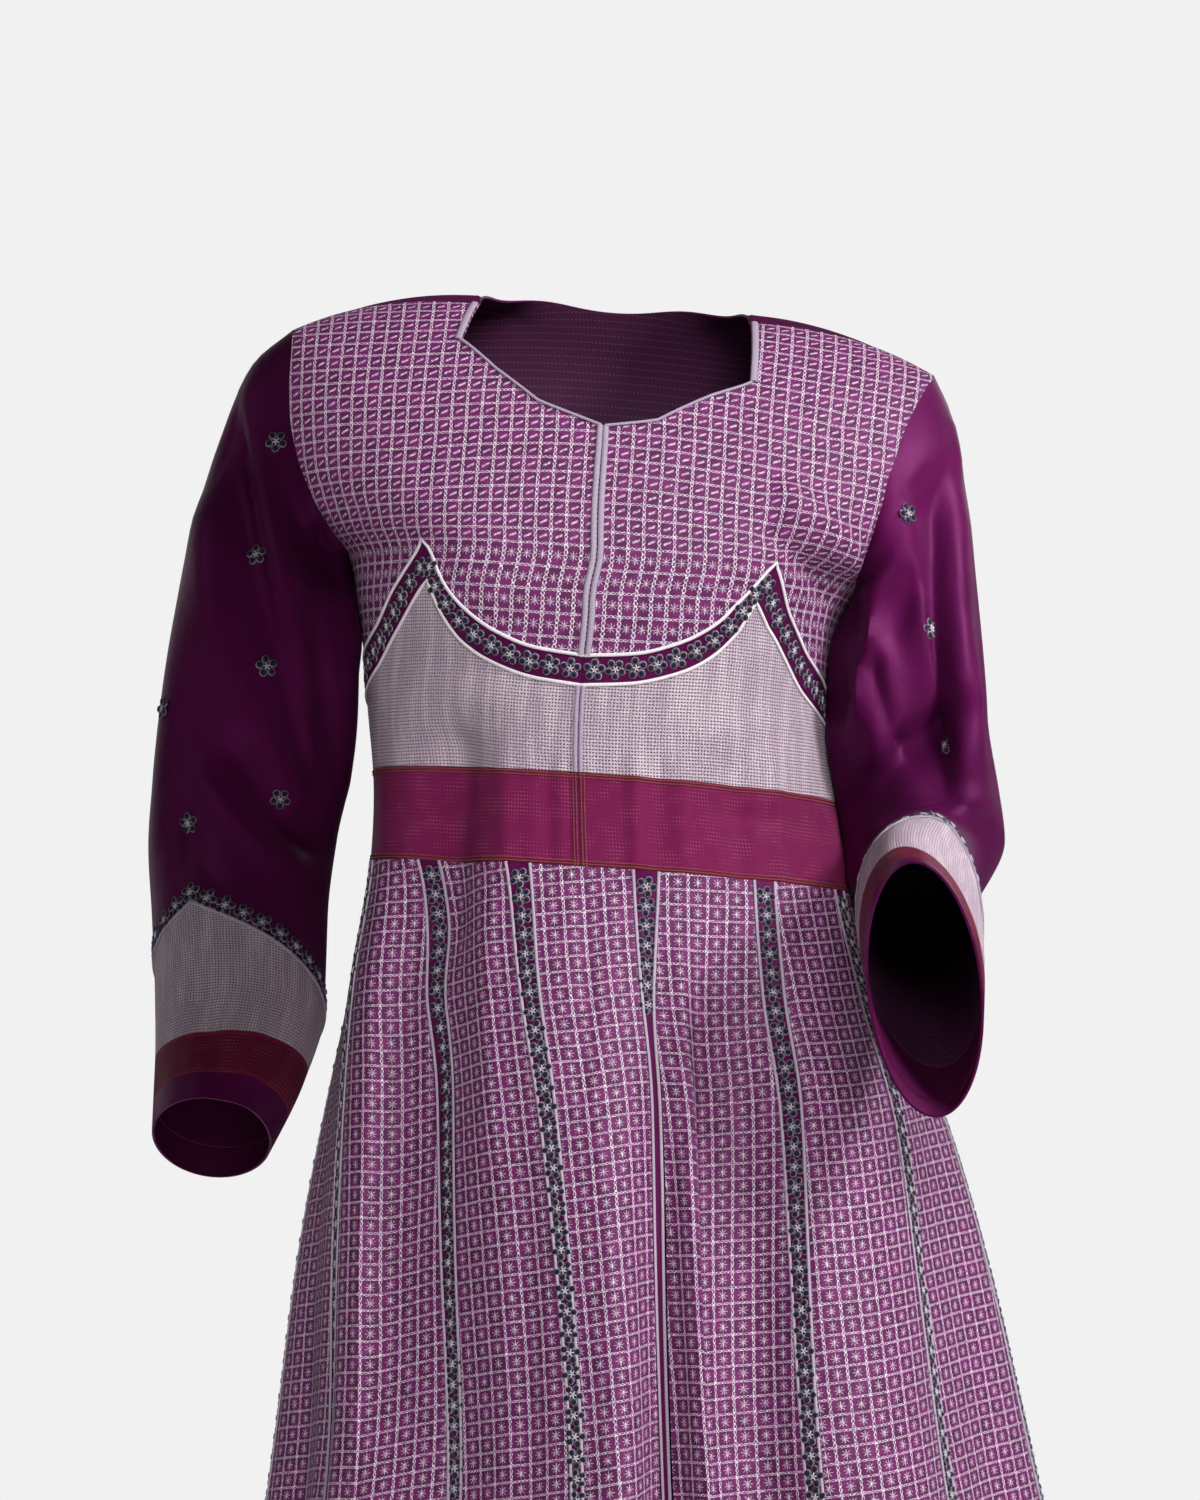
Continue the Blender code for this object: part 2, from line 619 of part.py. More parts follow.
def back_bodice(colours):
    """The plain back, which laps forward over the shoulders to the seams."""
    waist = [(180 - a, key_of(WAISTBAND_TOP)) for a in waist_stations() if 89.99 <= a <= 270.01]
    tops = []
    for turns in (NECK_RIGHT, NECK_LEFT):
        seam = shoulder_seam(turns, SEAM_SEGMENTS)[::-1]
        tops.append(seam + back_neck(seam[-1]))
    right, left = tops
    top = left + [(-a, b) for a, b in reversed(right[:-1])]
    levels = [WAISTBAND_TOP, SCALLOP_ROWS[-1][2], SCALLOP_ROWS[-1][1], ARMHOLE_ROWS[-1][1]]
    side = stretch([(90.0, key_of(d)) for d in levels], (PALE_ROWS, 1, SIDE_TOP_SEGMENTS))
    foot = side[::-1] + waist[1:-1] + [(-a, b) for a, b in side]
    armhole = [(a, key_of(d)) for a, d in armhole_places("back", 1)]
    panel("bodice_back", patch(foot, top, armhole, [(-a, b) for a, b in armhole]), torso,
          torso_normal, SATIN, colours["satin"])


def waistband(colours):
    """The braid at the waist: two fronts, which meet at the centre front, and the back."""
    stations = waist_stations()
    for name, first, last in (("waistband_front_left", 0, 90), ("waistband_back", 90, 270),
                              ("waistband_front_right", 270, 360)):
        angles = [a for a in stations if first - 0.01 <= a <= last + 0.01]
        levels = [WAISTBAND_BOTTOM, (WAISTBAND_BOTTOM + WAISTBAND_TOP) / 2, WAISTBAND_TOP]
        panel(name, [[(a, d) for a in angles] for d in levels], body, skirt_normal, BRAID,
              colours["braid"])


# Skirt

def skirt_pieces(colours):
    """Gores and the floral strips between them, then the plain band round the hem."""
    foot = 1 - HEM_BAND / (LENGTH - WAISTBAND_BOTTOM)
    shares = list(SKIRT_ROWS) + [foot]

    def drop_at(share):
        return WAISTBAND_BOTTOM + (LENGTH - WAISTBAND_BOTTOM) * share

    for number in range(GORES):
        places = [[(a, drop_at(share)) for a in gore_places(number, share)] for share in shares]
        panel("gore_%02d" % (number + 1), places, skirt, skirt_normal, EMBROIDERED, colours["grid"])
        middle = strip_middle(number)
        places = []
        for share in shares:
            half = strip_half_angle(share)
            places.append([(middle - half, drop_at(share)), (middle + half, drop_at(share))])
        panel("floral_strip_%02d" % (number + 1), places, skirt, skirt_normal, EMBROIDERED,
              colours["floral"])
    hem = []
    for share in (foot, 1.0):
        angles = []
        for number in range(GORES):
            angles += gore_places(number, foot)
        hem.append([(a, drop_at(share)) for a in angles])
    panel("hem_band", hem, skirt, skirt_normal, SATIN, colours["satin"], closed=True)


# Sleeves

def sleeve_surface(rows, leans, folds, hand, side):
    """A sleeve by angle round its ring and place along it; 0 is its outer line, 90 its front."""
    ring = curves(rows, "ox", "oy", "oz", "ix", "iy", "iz", "deep", "pitch")
    lean = curve([row[0] for row in leans], [row[1] for row in leans])
    folds = [dict(zip(FOLD_COLUMNS, row)) for row in folds]

    def armhole(angle):
        angle = angle % 360
        share = (angle if angle <= 180 else 360 - angle) / 180
        face = hand if angle <= 180 else "back"
        key = key_of(ARMHOLE["drop"](share))
        return side * ARMHOLE[face](share), (-key if angle <= 180 else key)

    def own(angle, along):
        outer = Vector((ring["ox"](along), ring["oy"](along), ring["oz"](along)))
        inner = Vector((ring["ix"](along), ring["iy"](along), ring["iz"](along)))
        pitch = math.radians(ring["pitch"](along))
        aim = Vector((0.0, -math.cos(pitch), -math.sin(pitch)))
        out = (outer - inner) / 2
        front = (aim.cross(out.normalized()) * side).normalized()
        a = math.radians(angle)
        down = front * ring["deep"](along) - out.normalized() * lean(along)
        spread = out * math.cos(a) + down * math.sin(a)
        for fold in folds:
            share = (along - fold["start"]) / (fold["end"] - fold["start"])
            if 0 < share < 1:
                aside = (angle - fold["angle"] - fold["drift"] * (share - 0.5) + 180) % 360 - 180
                crest = math.exp(-(aside / fold["width"]) ** 2) * math.sin(math.pi * share)
                spread += spread.normalized() * fold["depth"] * crest
        return (outer + inner) / 2 + spread

    def surface(angle, along):
        fade = 1 - smooth(along / ARMHOLE_BLEND)
        return own(angle, along) + (torso(*armhole(angle)) - own(angle, 0.0)) * fade

    return surface, armhole


def sleeve(hand, side, rows, leans, folds, end, colours):
    """The pieces of one sleeve, from the armhole to the cuff's edge."""
    surface, armhole = sleeve_surface(rows, leans, folds, hand, side)
    angles = [360 * k / SLEEVE_COLUMNS for k in range(SLEEVE_COLUMNS)]

    def normal(angle, along):
        along = max(along, STEP_ALONG)
        found = facing(surface, angle, along, STEP_ANGLE, STEP_ALONG)
        middle = (surface(angle, along) + surface(angle + 180, along)) / 2
        return found if found.dot(surface(angle, along) - middle) > 0 else -found

    def chevron(angle):
        away = abs((angle - CHEVRON_PEAK + 180) % 360 - 180) / 180
        return CHEVRON_TOP + CHEVRON_FALL * away ** CHEVRON_POWER

    def rows_between(first, last, count):
        return [[(a, first(a) + (last(a) - first(a)) * k / count) for a in angles]
                for k in range(count + 1)]

    def at(place):
        return lambda angle: place

    seam = [torso(*armhole(a)) for a in angles]
    seam_normals = [torso_normal(*armhole(a)) for a in angles]
    beyond = Vector((side * ARM[0],) + ARM[1:])
    outward = []
    for k, facing_out in enumerate(seam_normals):
        along_seam = seam[(k + 1) % SLEEVE_COLUMNS] - seam[k - 1]
        across = facing_out.cross(along_seam).normalized()
        outward.append(across if across.dot(beyond - seam[k]) > 0 else -across)

    places = [[(a, along) for a in angles] for along in ARMHOLE_RINGS]
    places += rows_between(at(SLEEVE_START), chevron, SLEEVE_ROWS)
    outer = [[surface(a, b) for a, b in row] for row in places]
    normals = [[normal(a, b) for a, b in row] for row in places]
    outer[0] = [p + d * GAP for p, d in zip(seam, outward)]
    normals[0] = [seam_normals[k] if n.dot(outward[k]) > 0 else n for k, n in enumerate(normals[0])]
    last = [(above - p).normalized() * GAP * EDGE_SHARE for p, above in zip(outer[-1], outer[-2])]
    outer[-1] = [p + d for p, d in zip(outer[-1], last)]
    inner = [[p - n * SATIN for p, n in zip(*pair)] for pair in zip(outer, normals)]
    wall("sleeve_" + hand, outer, inner, colours["satin"], closed=True)

    def below_flowers(angle):
        return chevron(angle) + CUFF_FLOWERS

    for name, first, final, count, thickness, colour in (
            ("cuff_floral_band_", chevron, below_flowers, 1, EMBROIDERED, "floral"),
            ("cuff_pale_panel_", below_flowers, at(BRAID_TOP), 3, EMBROIDERED, "pale"),
            ("cuff_braid_", at(BRAID_TOP), at(BRAID_BOTTOM), 1, BRAID, "braid"),
            ("cuff_hem_", at(BRAID_BOTTOM), at(end), 1, SATIN, "satin")):
        panel(name + hand, rows_between(first, final, count), surface, normal, thickness,
              colours[colour], closed=True)


def main():
    for item in list(bpy.context.scene.objects):
        bpy.data.objects.remove(item, do_unlink=True)
    colours = {
        "satin": plain_material("plum_satin", (0.20, 0.012, 0.13), 0.42),
        "grid": plain_material("grid_embroidery", (0.30, 0.10, 0.24), 0.62),
        "floral": plain_material("floral_embroidery", (0.13, 0.10, 0.16), 0.60),
        "pale": plain_material("pale_embroidery", (0.44, 0.36, 0.44), 0.66),
        "braid": plain_material("raspberry_braid", (0.22, 0.010, 0.07), 0.55),
        "cord": plain_material("lilac_cord", (0.66, 0.58, 0.66), 0.55),
    }
    front(-1, "right", NECK_RIGHT, colours)
    front(1, "left", NECK_LEFT, colours)
    back_bodice(colours)
    waistband(colours)
    skirt_pieces(colours)
    sleeve("right", -1, RIGHT_SLEEVE_ROWS, RIGHT_LEAN_ROWS, RIGHT_FOLDS, RIGHT_SLEEVE_END, colours)
    sleeve("left", 1, LEFT_SLEEVE_ROWS, LEFT_LEAN_ROWS, LEFT_FOLDS, LEFT_SLEEVE_END, colours)


main()
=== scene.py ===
import math
from functools import partial

import bpy
import numpy as np
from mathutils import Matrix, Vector, kdtree


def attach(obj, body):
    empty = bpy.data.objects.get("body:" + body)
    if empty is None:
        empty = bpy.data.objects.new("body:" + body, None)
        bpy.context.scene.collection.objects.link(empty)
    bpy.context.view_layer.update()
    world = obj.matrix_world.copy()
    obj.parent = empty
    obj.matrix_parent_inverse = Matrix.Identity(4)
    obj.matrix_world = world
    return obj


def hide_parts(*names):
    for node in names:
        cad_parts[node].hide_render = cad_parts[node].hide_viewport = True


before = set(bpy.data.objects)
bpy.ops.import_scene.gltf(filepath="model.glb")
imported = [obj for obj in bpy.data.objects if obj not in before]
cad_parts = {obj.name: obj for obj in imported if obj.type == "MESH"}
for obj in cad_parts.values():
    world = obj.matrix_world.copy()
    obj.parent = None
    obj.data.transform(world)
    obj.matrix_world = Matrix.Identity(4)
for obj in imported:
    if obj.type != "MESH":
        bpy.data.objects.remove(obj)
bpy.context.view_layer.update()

# Afghan dress in plum satin under silver-lilac chain stitch, seen as it is worn.
# Metres; the front faces -Y and the wearer's left is +X, as in the CAD frame.


# The dress as one surface, with the sizes of the CAD model

dress = {
    "waistTop": 0.341, "waistFoot": 0.405, "length": 1.385, "hemBand": 0.030,
    "gores": 12, "goreSegments": 6, "goreTop": 0.078, "goreFoot": 0.260, "strip": 0.0175,
    "swingEnd": 0.45, "fluteGrowth": 0.85,
    "bustAngle": 35.0, "bustDrop": 0.205, "bustOut": 0.013, "bustWidth": 20.0, "bustHeight": 0.052,
    "shoulderLevel": 0.0955, "shoulderEnd": 0.2265, "shoulderFall": 0.0335, "shoulderRound": 1.9,
    "shoulderReach": 0.14, "napeRise": 0.034, "napeHalf": 0.125, "napeReach": 0.13,
}

bodyRows = (
    # drop  middle   half    front   back    slope   turn
    (0.000, 0.0095, 0.2430, 0.0000, 0.0000, 0.072, 0.0),
    (0.010, 0.0095, 0.2430, 0.0350, 0.0370, 0.072, 0.0),
    (0.030, 0.0095, 0.2430, 0.0580, 0.0620, 0.072, -0.3),
    (0.060, 0.0095, 0.2430, 0.0790, 0.0820, 0.072, -1.0),
    (0.100, 0.0090, 0.2420, 0.0980, 0.0940, 0.072, -1.6),
    (0.130, 0.0070, 0.2340, 0.1090, 0.0990, 0.072, -1.6),
    (0.155, 0.0045, 0.2190, 0.1160, 0.1010, 0.071, -1.5),
    (0.176, 0.0030, 0.1990, 0.1200, 0.1020, 0.070, -1.4),
    (0.193, 0.0020, 0.1780, 0.1220, 0.1020, 0.070, -1.3),
    (0.225, -0.0040, 0.1670, 0.1220, 0.1000, 0.070, -1.2),
    (0.280, -0.0030, 0.1610, 0.1150, 0.0970, 0.070, -3.5),
    (0.341, 0.0030, 0.1620, 0.1090, 0.0980, 0.072, -6.3),
    (0.405, 0.0085, 0.1690, 0.1130, 0.1100, 0.070, -7.3),
    (0.484, 0.0130, 0.1890, 0.1320, 0.1360, 0.050, -7.3),
    (0.564, 0.0220, 0.2110, 0.1530, 0.1620, 0.034, -7.3),
    (0.669, 0.0280, 0.2320, 0.1740, 0.1880, 0.020, -7.3),
    (0.837, 0.0360, 0.2570, 0.2040, 0.2240, 0.008, -7.3),
    (1.100, 0.0430, 0.3050, 0.2500, 0.2750, 0.000, -7.3),
    (1.385, 0.0480, 0.3550, 0.2950, 0.3250, 0.000, -7.3),
)

fluteRows = (
    # waist  below    out
    (-180.0, -180.0, -0.020),
    (-165.0, -159.0, 0.030),
    (-150.0, -139.0, -0.034),
    (-135.0, -120.0, 0.030),
    (-120.0, -103.0, -0.028),
    (-105.0, -86.0, 0.020),
    (-90.0, -70.0, -0.018),
    (-75.0, -56.0, 0.004),
    (-62.0, -44.0, 0.040),
    (-52.0, -32.5, -0.018),
    (-45.0, -26.0, -0.040),
    (-30.0, -14.5, -0.004),
    (-15.0, -3.5, 0.026),
    (-3.0, 2.2, 0.036),
    (15.0, 9.0, -0.046),
    (24.0, 15.5, 0.018),
    (36.0, 25.0, -0.030),
    (45.0, 32.0, -0.006),
    (58.0, 42.5, 0.038),
    (75.0, 58.0, 0.010),
    (90.0, 71.5, -0.010),
    (105.0, 88.0, 0.028),
    (120.0, 104.0, -0.030),
    (135.0, 121.0, 0.030),
    (150.0, 139.5, -0.034),
    (165.0, 159.5, 0.028),
)

armholeRows = (
    # share  drop   right   left    back
    (0.0, 0.0000, 68.5, 68.5, 68.5),
    (0.1, 0.0090, 68.4, 67.6, 68.2),
    (0.2, 0.0290, 68.2, 64.5, 66.8),
    (0.3, 0.0560, 68.0, 60.5, 64.5),
    (0.4, 0.0860, 67.3, 57.0, 62.0),
    (0.5, 0.1160, 66.6, 55.0, 60.0),
    (0.6, 0.1430, 67.0, 57.0, 60.5),
    (0.7, 0.1650, 69.5, 61.5, 63.5),
    (0.8, 0.1810, 74.5, 69.0, 70.0),
    (0.9, 0.1900, 81.5, 79.0, 79.5),
    (1.0, 0.1930, 90.0, 90.0, 90.0),
)

neckTurns = {
    -1: ((0.0, 0.101), (10.5, 0.0865), (18.0, 0.0645), (25.0, 0.0420), (22.8, 0.0120)),
    1: ((0.0, 0.101), (8.5, 0.0950), (17.0, 0.0730), (23.8, 0.0610), (23.2, 0.0120)),
}
neckSegments = (5, 2, 1, 1, 3)  # rows of the yoke beside each stretch of its front and neck edge
seamMiddle = (45.0, 0.0050)
shoulderPoint = (68.5, 0.0)
backNeckDrop = 0.0200

scallopRows = (
    # angle  outer   inner
    (0.0, 0.2616, 0.2820),
    (12.0, 0.2580, 0.2785),
    (22.0, 0.2490, 0.2705),
    (31.0, 0.2340, 0.2575),
    (37.5, 0.2130, 0.2390),
    (41.5, 0.1880, 0.2160),
    (46.5, 0.2010, 0.2290),
    (54.0, 0.2200, 0.2480),
    (66.0, 0.2450, 0.2720),
    (90.0, 0.2660, 0.2930),
)
scallopPeak = 41.5
peakStation = 12

sleeveRows = {
    -1: (
        # along  out x    out y    out z    in x     in y     in z     deep   pitch
        (0.000, -0.2166, 0.0000, -0.0172, -0.1760, 0.0000, -0.1805, 0.046, 90.0),
        (0.030, -0.2450, 0.0040, -0.0410, -0.1815, 0.0000, -0.1870, 0.046, 90.0),
        (0.070, -0.2660, 0.0050, -0.0900, -0.1800, -0.0060, -0.1980, 0.051, 90.0),
        (0.120, -0.2860, 0.0020, -0.1640, -0.1755, -0.0160, -0.2170, 0.056, 90.0),
        (0.180, -0.2955, 0.0030, -0.2250, -0.1720, -0.0180, -0.2480, 0.058, 90.0),
        (0.250, -0.3040, 0.0030, -0.2820, -0.1735, -0.0120, -0.2920, 0.057, 90.0),
        (0.320, -0.3115, 0.0010, -0.3400, -0.1755, -0.0060, -0.3360, 0.057, 88.0),
        (0.380, -0.3150, -0.0060, -0.3850, -0.1835, -0.0060, -0.3760, 0.056, 80.0),
        (0.440, -0.3110, -0.0200, -0.4330, -0.1890, -0.0200, -0.4300, 0.054, 73.0),
        (0.520, -0.3060, -0.0450, -0.4920, -0.1895, -0.0450, -0.5000, 0.053, 68.0),
        (0.570, -0.3040, -0.0620, -0.5400, -0.2010, -0.0620, -0.5420, 0.056, 65.0),
        (0.630, -0.3040, -0.0830, -0.5960, -0.2290, -0.0830, -0.6000, 0.061, 63.0),
    ),
    1: (
        (0.000, 0.2356, 0.0000, -0.0498, 0.1800, 0.0000, -0.2055, 0.050, 90.0),
        (0.030, 0.2475, 0.0000, -0.0780, 0.1840, -0.0020, -0.2110, 0.053, 90.0),
        (0.070, 0.2550, 0.0010, -0.1200, 0.1795, -0.0060, -0.2210, 0.059, 90.0),
        (0.120, 0.2595, 0.0030, -0.1740, 0.1705, -0.0150, -0.2370, 0.062, 90.0),
        (0.180, 0.2640, 0.0070, -0.2300, 0.1645, -0.0200, -0.2610, 0.063, 90.0),
        (0.250, 0.2690, 0.0130, -0.2950, 0.1625, -0.0240, -0.3040, 0.062, 90.0),
        (0.310, 0.2770, 0.0170, -0.3450, 0.1690, -0.0180, -0.3480, 0.060, 84.0),
        (0.360, 0.2820, 0.0040, -0.3860, 0.1755, -0.0140, -0.3830, 0.058, 62.0),
        (0.400, 0.2660, -0.0300, -0.4070, 0.1770, -0.0340, -0.4070, 0.056, 40.0),
        (0.450, 0.2580, -0.0820, -0.4220, 0.1760, -0.0780, -0.4200, 0.056, 23.0),
        (0.500, 0.2560, -0.1320, -0.4400, 0.1730, -0.1280, -0.4370, 0.062, 17.0),
        (0.550, 0.2530, -0.1780, -0.4650, 0.1710, -0.1720, -0.4580, 0.070, 14.0),
        (0.610, 0.2490, -0.2240, -0.5000, 0.1730, -0.2160, -0.4820, 0.081, 12.0),
    ),
}
sleeveLeans = {  # along, out
    -1: ((0.000, 0.000), (0.620, 0.000)),
    1: ((0.000, 0.000), (0.430, 0.000), (0.520, 0.010), (0.610, 0.021)),
}
armholeBlend = 0.130

# Folds of the sleeves, as in the solids: angle round the ring from its outer line over the front,
# half width, first and last place along the sleeve, depth, and drift over the fold
sleeveFolds = {
    -1: (
        (70.0, 20.0, 0.06, 0.44, -0.0060, -18.0),
        (115.0, 18.0, 0.10, 0.50, 0.0055, 10.0),
        (150.0, 16.0, 0.14, 0.46, -0.0060, -8.0),
        (20.0, 18.0, 0.10, 0.40, 0.0040, 14.0),
        (250.0, 24.0, 0.06, 0.46, -0.0060, 20.0),
        (310.0, 20.0, 0.12, 0.52, 0.0050, -16.0),
    ),
    1: (
        (150.0, 20.0, 0.04, 0.30, 0.0080, -36.0),
        (112.0, 15.0, 0.06, 0.34, -0.0075, -24.0),
        (70.0, 18.0, 0.16, 0.40, 0.0050, 20.0),
        (35.0, 16.0, 0.10, 0.38, -0.0050, 12.0),
        (250.0, 24.0, 0.06, 0.36, -0.0060, 26.0),
        (310.0, 22.0, 0.16, 0.44, 0.0050, -20.0),
    ),
}
cuff = {
    "peakAngle": 61.0, "top": 0.430, "fall": 0.104, "power": 0.86, "flowers": 0.018,
    "braidTop": 0.566, "braidFoot": 0.598, "end": {-1: 0.618, 1: 0.610},
}


def curveThrough(places, values):
    last = len(places) - 1
    slopes = [(values[i + 1] - values[i]) / (places[i + 1] - places[i]) for i in range(last)]
    tangents = [slopes[0]]
    for before, after in zip(slopes, slopes[1:]):
        tangents.append(0.0 if before * after <= 0 else 2 * before * after / (before + after))
    tangents.append(slopes[-1])

    def value(place):
        place = min(max(place, places[0]), places[-1])
        i = 0
        while i < last - 1 and place > places[i + 1]:
            i += 1
        width = places[i + 1] - places[i]
        t = (place - places[i]) / width
        rise = tangents[i] * width * t * (1 - t) ** 2 - tangents[i + 1] * width * t * t * (1 - t)
        return values[i] + (values[i + 1] - values[i]) * t * t * (3 - 2 * t) + rise

    return value


def tableCurves(rows, *names):
    places = [row[0] for row in rows]
    return {name: curveThrough(places, [row[i + 1] for row in rows]) for i, name in enumerate(names)}


def eased(t):
    t = min(max(t, 0.0), 1.0)
    return t * t * (3 - 2 * t)


def keyOf(drop):  # rings are placed by the square root of their drop, which rounds the shoulder
    return math.sqrt(max(drop, 0.0))


bodyCurve = tableCurves([(keyOf(row[0]),) + row[1:] for row in bodyRows],
                        "middle", "half", "front", "back", "slope", "turn")
armholeCurve = tableCurves(armholeRows, "drop", -1, 1, "back")


def roundCurve(column):
    turn = [(row[0], column(row)) for row in fluteRows]
    wrapped = [(a - 360, v) for a, v in turn[-3:]] + turn + [(a + 360, v) for a, v in turn[:3]]
    return curveThrough([a for a, _ in wrapped], [v for _, v in wrapped])


fluteSwing = roundCurve(lambda row: row[1] - row[0])
fluteOut = roundCurve(lambda row: row[2])


def bodyPoint(angle, drop):
    key = keyOf(drop)
    around = math.radians(angle + bodyCurve["turn"](key))
    forward = math.cos(around)
    depth = bodyCurve["front"](key) if forward > 0 else bodyCurve["back"](key)
    aside = bodyCurve["half"](key) * math.sin(around)
    y = -depth * forward
    z = -drop - bodyCurve["slope"](key) * aside
    span = dress["shoulderEnd"] - dress["shoulderLevel"]
    pastNeck = max(0.0, (abs(aside) - dress["shoulderLevel"]) / span)
    fade = max(0.0, 1 - drop / dress["shoulderReach"]) ** 2
    z -= dress["shoulderFall"] * pastNeck ** dress["shoulderRound"] * fade
    if forward > 0:
        for side in (-1, 1):
            across = (angle - side * dress["bustAngle"]) / dress["bustWidth"]
            along = (drop - dress["bustDrop"]) / dress["bustHeight"]
            y -= dress["bustOut"] * math.exp(-across * across - along * along)
    else:
        rise = eased(key / dress["napeReach"]) * max(0.0, 1 - (aside / dress["napeHalf"]) ** 2) ** 2
        z += dress["napeRise"] * rise * fade
    return (bodyCurve["middle"](key) + aside, y, z)


def torsoPoint(sideAngle, key):  # a negative key is in front, a positive one behind
    return bodyPoint(sideAngle if key < 0 else 180 - sideAngle, key * key)


def skirtPoint(angle, drop):
    share = max(0.0, (drop - dress["waistFoot"]) / (dress["length"] - dress["waistFoot"]))
    wrapped = (angle + 180) % 360 - 180
    swing = 1 - (1 - min(share / dress["swingEnd"], 1.0)) ** 2
    turned = angle + fluteSwing(wrapped) * swing
    key = keyOf(drop)
    around = math.radians(turned + bodyCurve["turn"](key))
    depth = bodyCurve["front"](key) if math.cos(around) > 0 else bodyCurve["back"](key)
    outX, outY = math.sin(around) / bodyCurve["half"](key), -math.cos(around) / depth
    size = math.hypot(outX, outY)
    out = fluteOut(wrapped) * share ** dress["fluteGrowth"]
    x, y, z = bodyPoint(turned, drop)
    return (x + outX / size * out, y + outY / size * out, z)


def sleeveSurface(side):
    ring = tableCurves(sleeveRows[side], "ox", "oy", "oz", "ix", "iy", "iz", "deep", "pitch")
    lean = tableCurves(sleeveLeans[side], "out")["out"]

    def armhole(angle):
        angle = angle % 360
        share = (angle if angle <= 180 else 360 - angle) / 180
        key = keyOf(armholeCurve["drop"](share))
        if angle <= 180:
            return side * armholeCurve[side](share), -key
        return side * armholeCurve["back"](share), key

    def own(angle, along):
        outer = Vector((ring["ox"](along), ring["oy"](along), ring["oz"](along)))
        inner = Vector((ring["ix"](along), ring["iy"](along), ring["iz"](along)))
        pitch = math.radians(ring["pitch"](along))
        aim = Vector((0.0, -math.cos(pitch), -math.sin(pitch)))
        out = (outer - inner) / 2
        front = (aim.cross(out.normalized()) * side).normalized()
        a = math.radians(angle)
        down = front * ring["deep"](along) - out.normalized() * lean(along)
        spread = out * math.cos(a) + down * math.sin(a)
        for foldAngle, width, start, end, depth, drift in sleeveFolds[side]:
            share = (along - start) / (end - start)
            if 0 < share < 1:
                aside = (angle - foldAngle - drift * (share - 0.5) + 180) % 360 - 180
                crest = math.exp(-(aside / width) ** 2) * math.sin(math.pi * share)
                spread += spread.normalized() * depth * crest
        return (outer + inner) / 2 + spread

    starts = {}

    def surface(angle, along):
        fade = 1 - eased(along / armholeBlend)
        point = own(angle, along)
        if fade > 0:
            if angle not in starts:
                starts[angle] = Vector(torsoPoint(*armhole(angle))) - own(angle, 0.0)
            point = point + starts[angle] * fade
        return tuple(point)

    return surface


# Places on the surface

def stretch(turns, segments):
    places = [turns[0]]
    for (a, b), (c, d), count in zip(turns, turns[1:], segments):
        places += [(a + (c - a) * k / count, b + (d - b) * k / count) for k in range(1, count + 1)]
    return places


def keyed(pairs):
    return [(a, -keyOf(d)) for a, d in pairs]


def coonsPatch(bottom, top, left, right):
    bottom, top, left, right = (np.array(edge) for edge in (bottom, top, left, right))
    u = np.linspace(0, 1, len(bottom))[None, :, None]
    v = np.linspace(0, 1, len(left))[:, None, None]
    edges = (1 - v) * bottom[None] + v * top[None] + (1 - u) * left[:, None] + u * right[:, None]
    corners = ((1 - u) * (1 - v) * bottom[0] + u * (1 - v) * bottom[-1]
               + (1 - u) * v * top[0] + u * v * top[-1])
    return edges - corners


settling = {"angleScale": 0.006, "first": 400, "finer": 60}


def settle(grid, rounds):
    # ease the inner places until the lines of the grid cross evenly
    scale = np.array((settling["angleScale"], 1.0))
    p = grid * scale
    for _ in range(rounds):
        east, west, north, south = p[1:-1, 2:], p[1:-1, :-2], p[2:, 1:-1], p[:-2, 1:-1]
        along, up = (east - west) / 2, (north - south) / 2
        slant = (p[2:, 2:] - p[:-2, 2:] - p[2:, :-2] + p[:-2, :-2]) / 4
        wide = (up * up).sum(2, keepdims=True)
        tall = (along * along).sum(2, keepdims=True)
        cross = (along * up).sum(2, keepdims=True)
        moved = (east + west) * wide + (north + south) * tall - slant * 2 * cross
        p[1:-1, 1:-1] = moved / (2 * (wide + tall))
    return p / scale


def scallopEdge(column, fine):
    front = curveThrough([r[0] for r in scallopRows[:6]], [r[column] for r in scallopRows[:6]])
    side = curveThrough([r[0] for r in scallopRows[5:]], [r[column] for r in scallopRows[5:]])
    last = 3 * (dress["goreSegments"] + 1)
    places = []
    for k in range(last * fine + 1):
        station = k / fine
        if station <= peakStation:
            angle = scallopPeak * station / peakStation
            places.append((angle, front(angle)))
        else:
            angle = scallopPeak + (90 - scallopPeak) * (station - peakStation) / (last - peakStation)
            places.append((angle, side(angle)))
    return keyed(places)


def armholeEdge(face, count):
    shares = [1 - k / count for k in range(count + 1)]
    return [(armholeCurve[face](share), armholeCurve["drop"](share)) for share in shares]


def shoulderSeam(turns, segments):
    return stretch(keyed([turns[-1], seamMiddle, shoulderPoint]), (segments // 2, segments - segments // 2))


def yokeEdges(side, fine):
    turns = neckTurns[side]
    outer = scallopEdge(1, fine)
    armhole = keyed(armholeEdge(side, 10 * fine))
    sideEdge = stretch([outer[-1], armhole[0]], (2 * fine,)) + armhole[1:]
    middle = stretch([outer[0]] + keyed(turns), [count * fine for count in neckSegments])
    return outer, shoulderSeam(turns, len(outer) - 1), middle, sideEdge


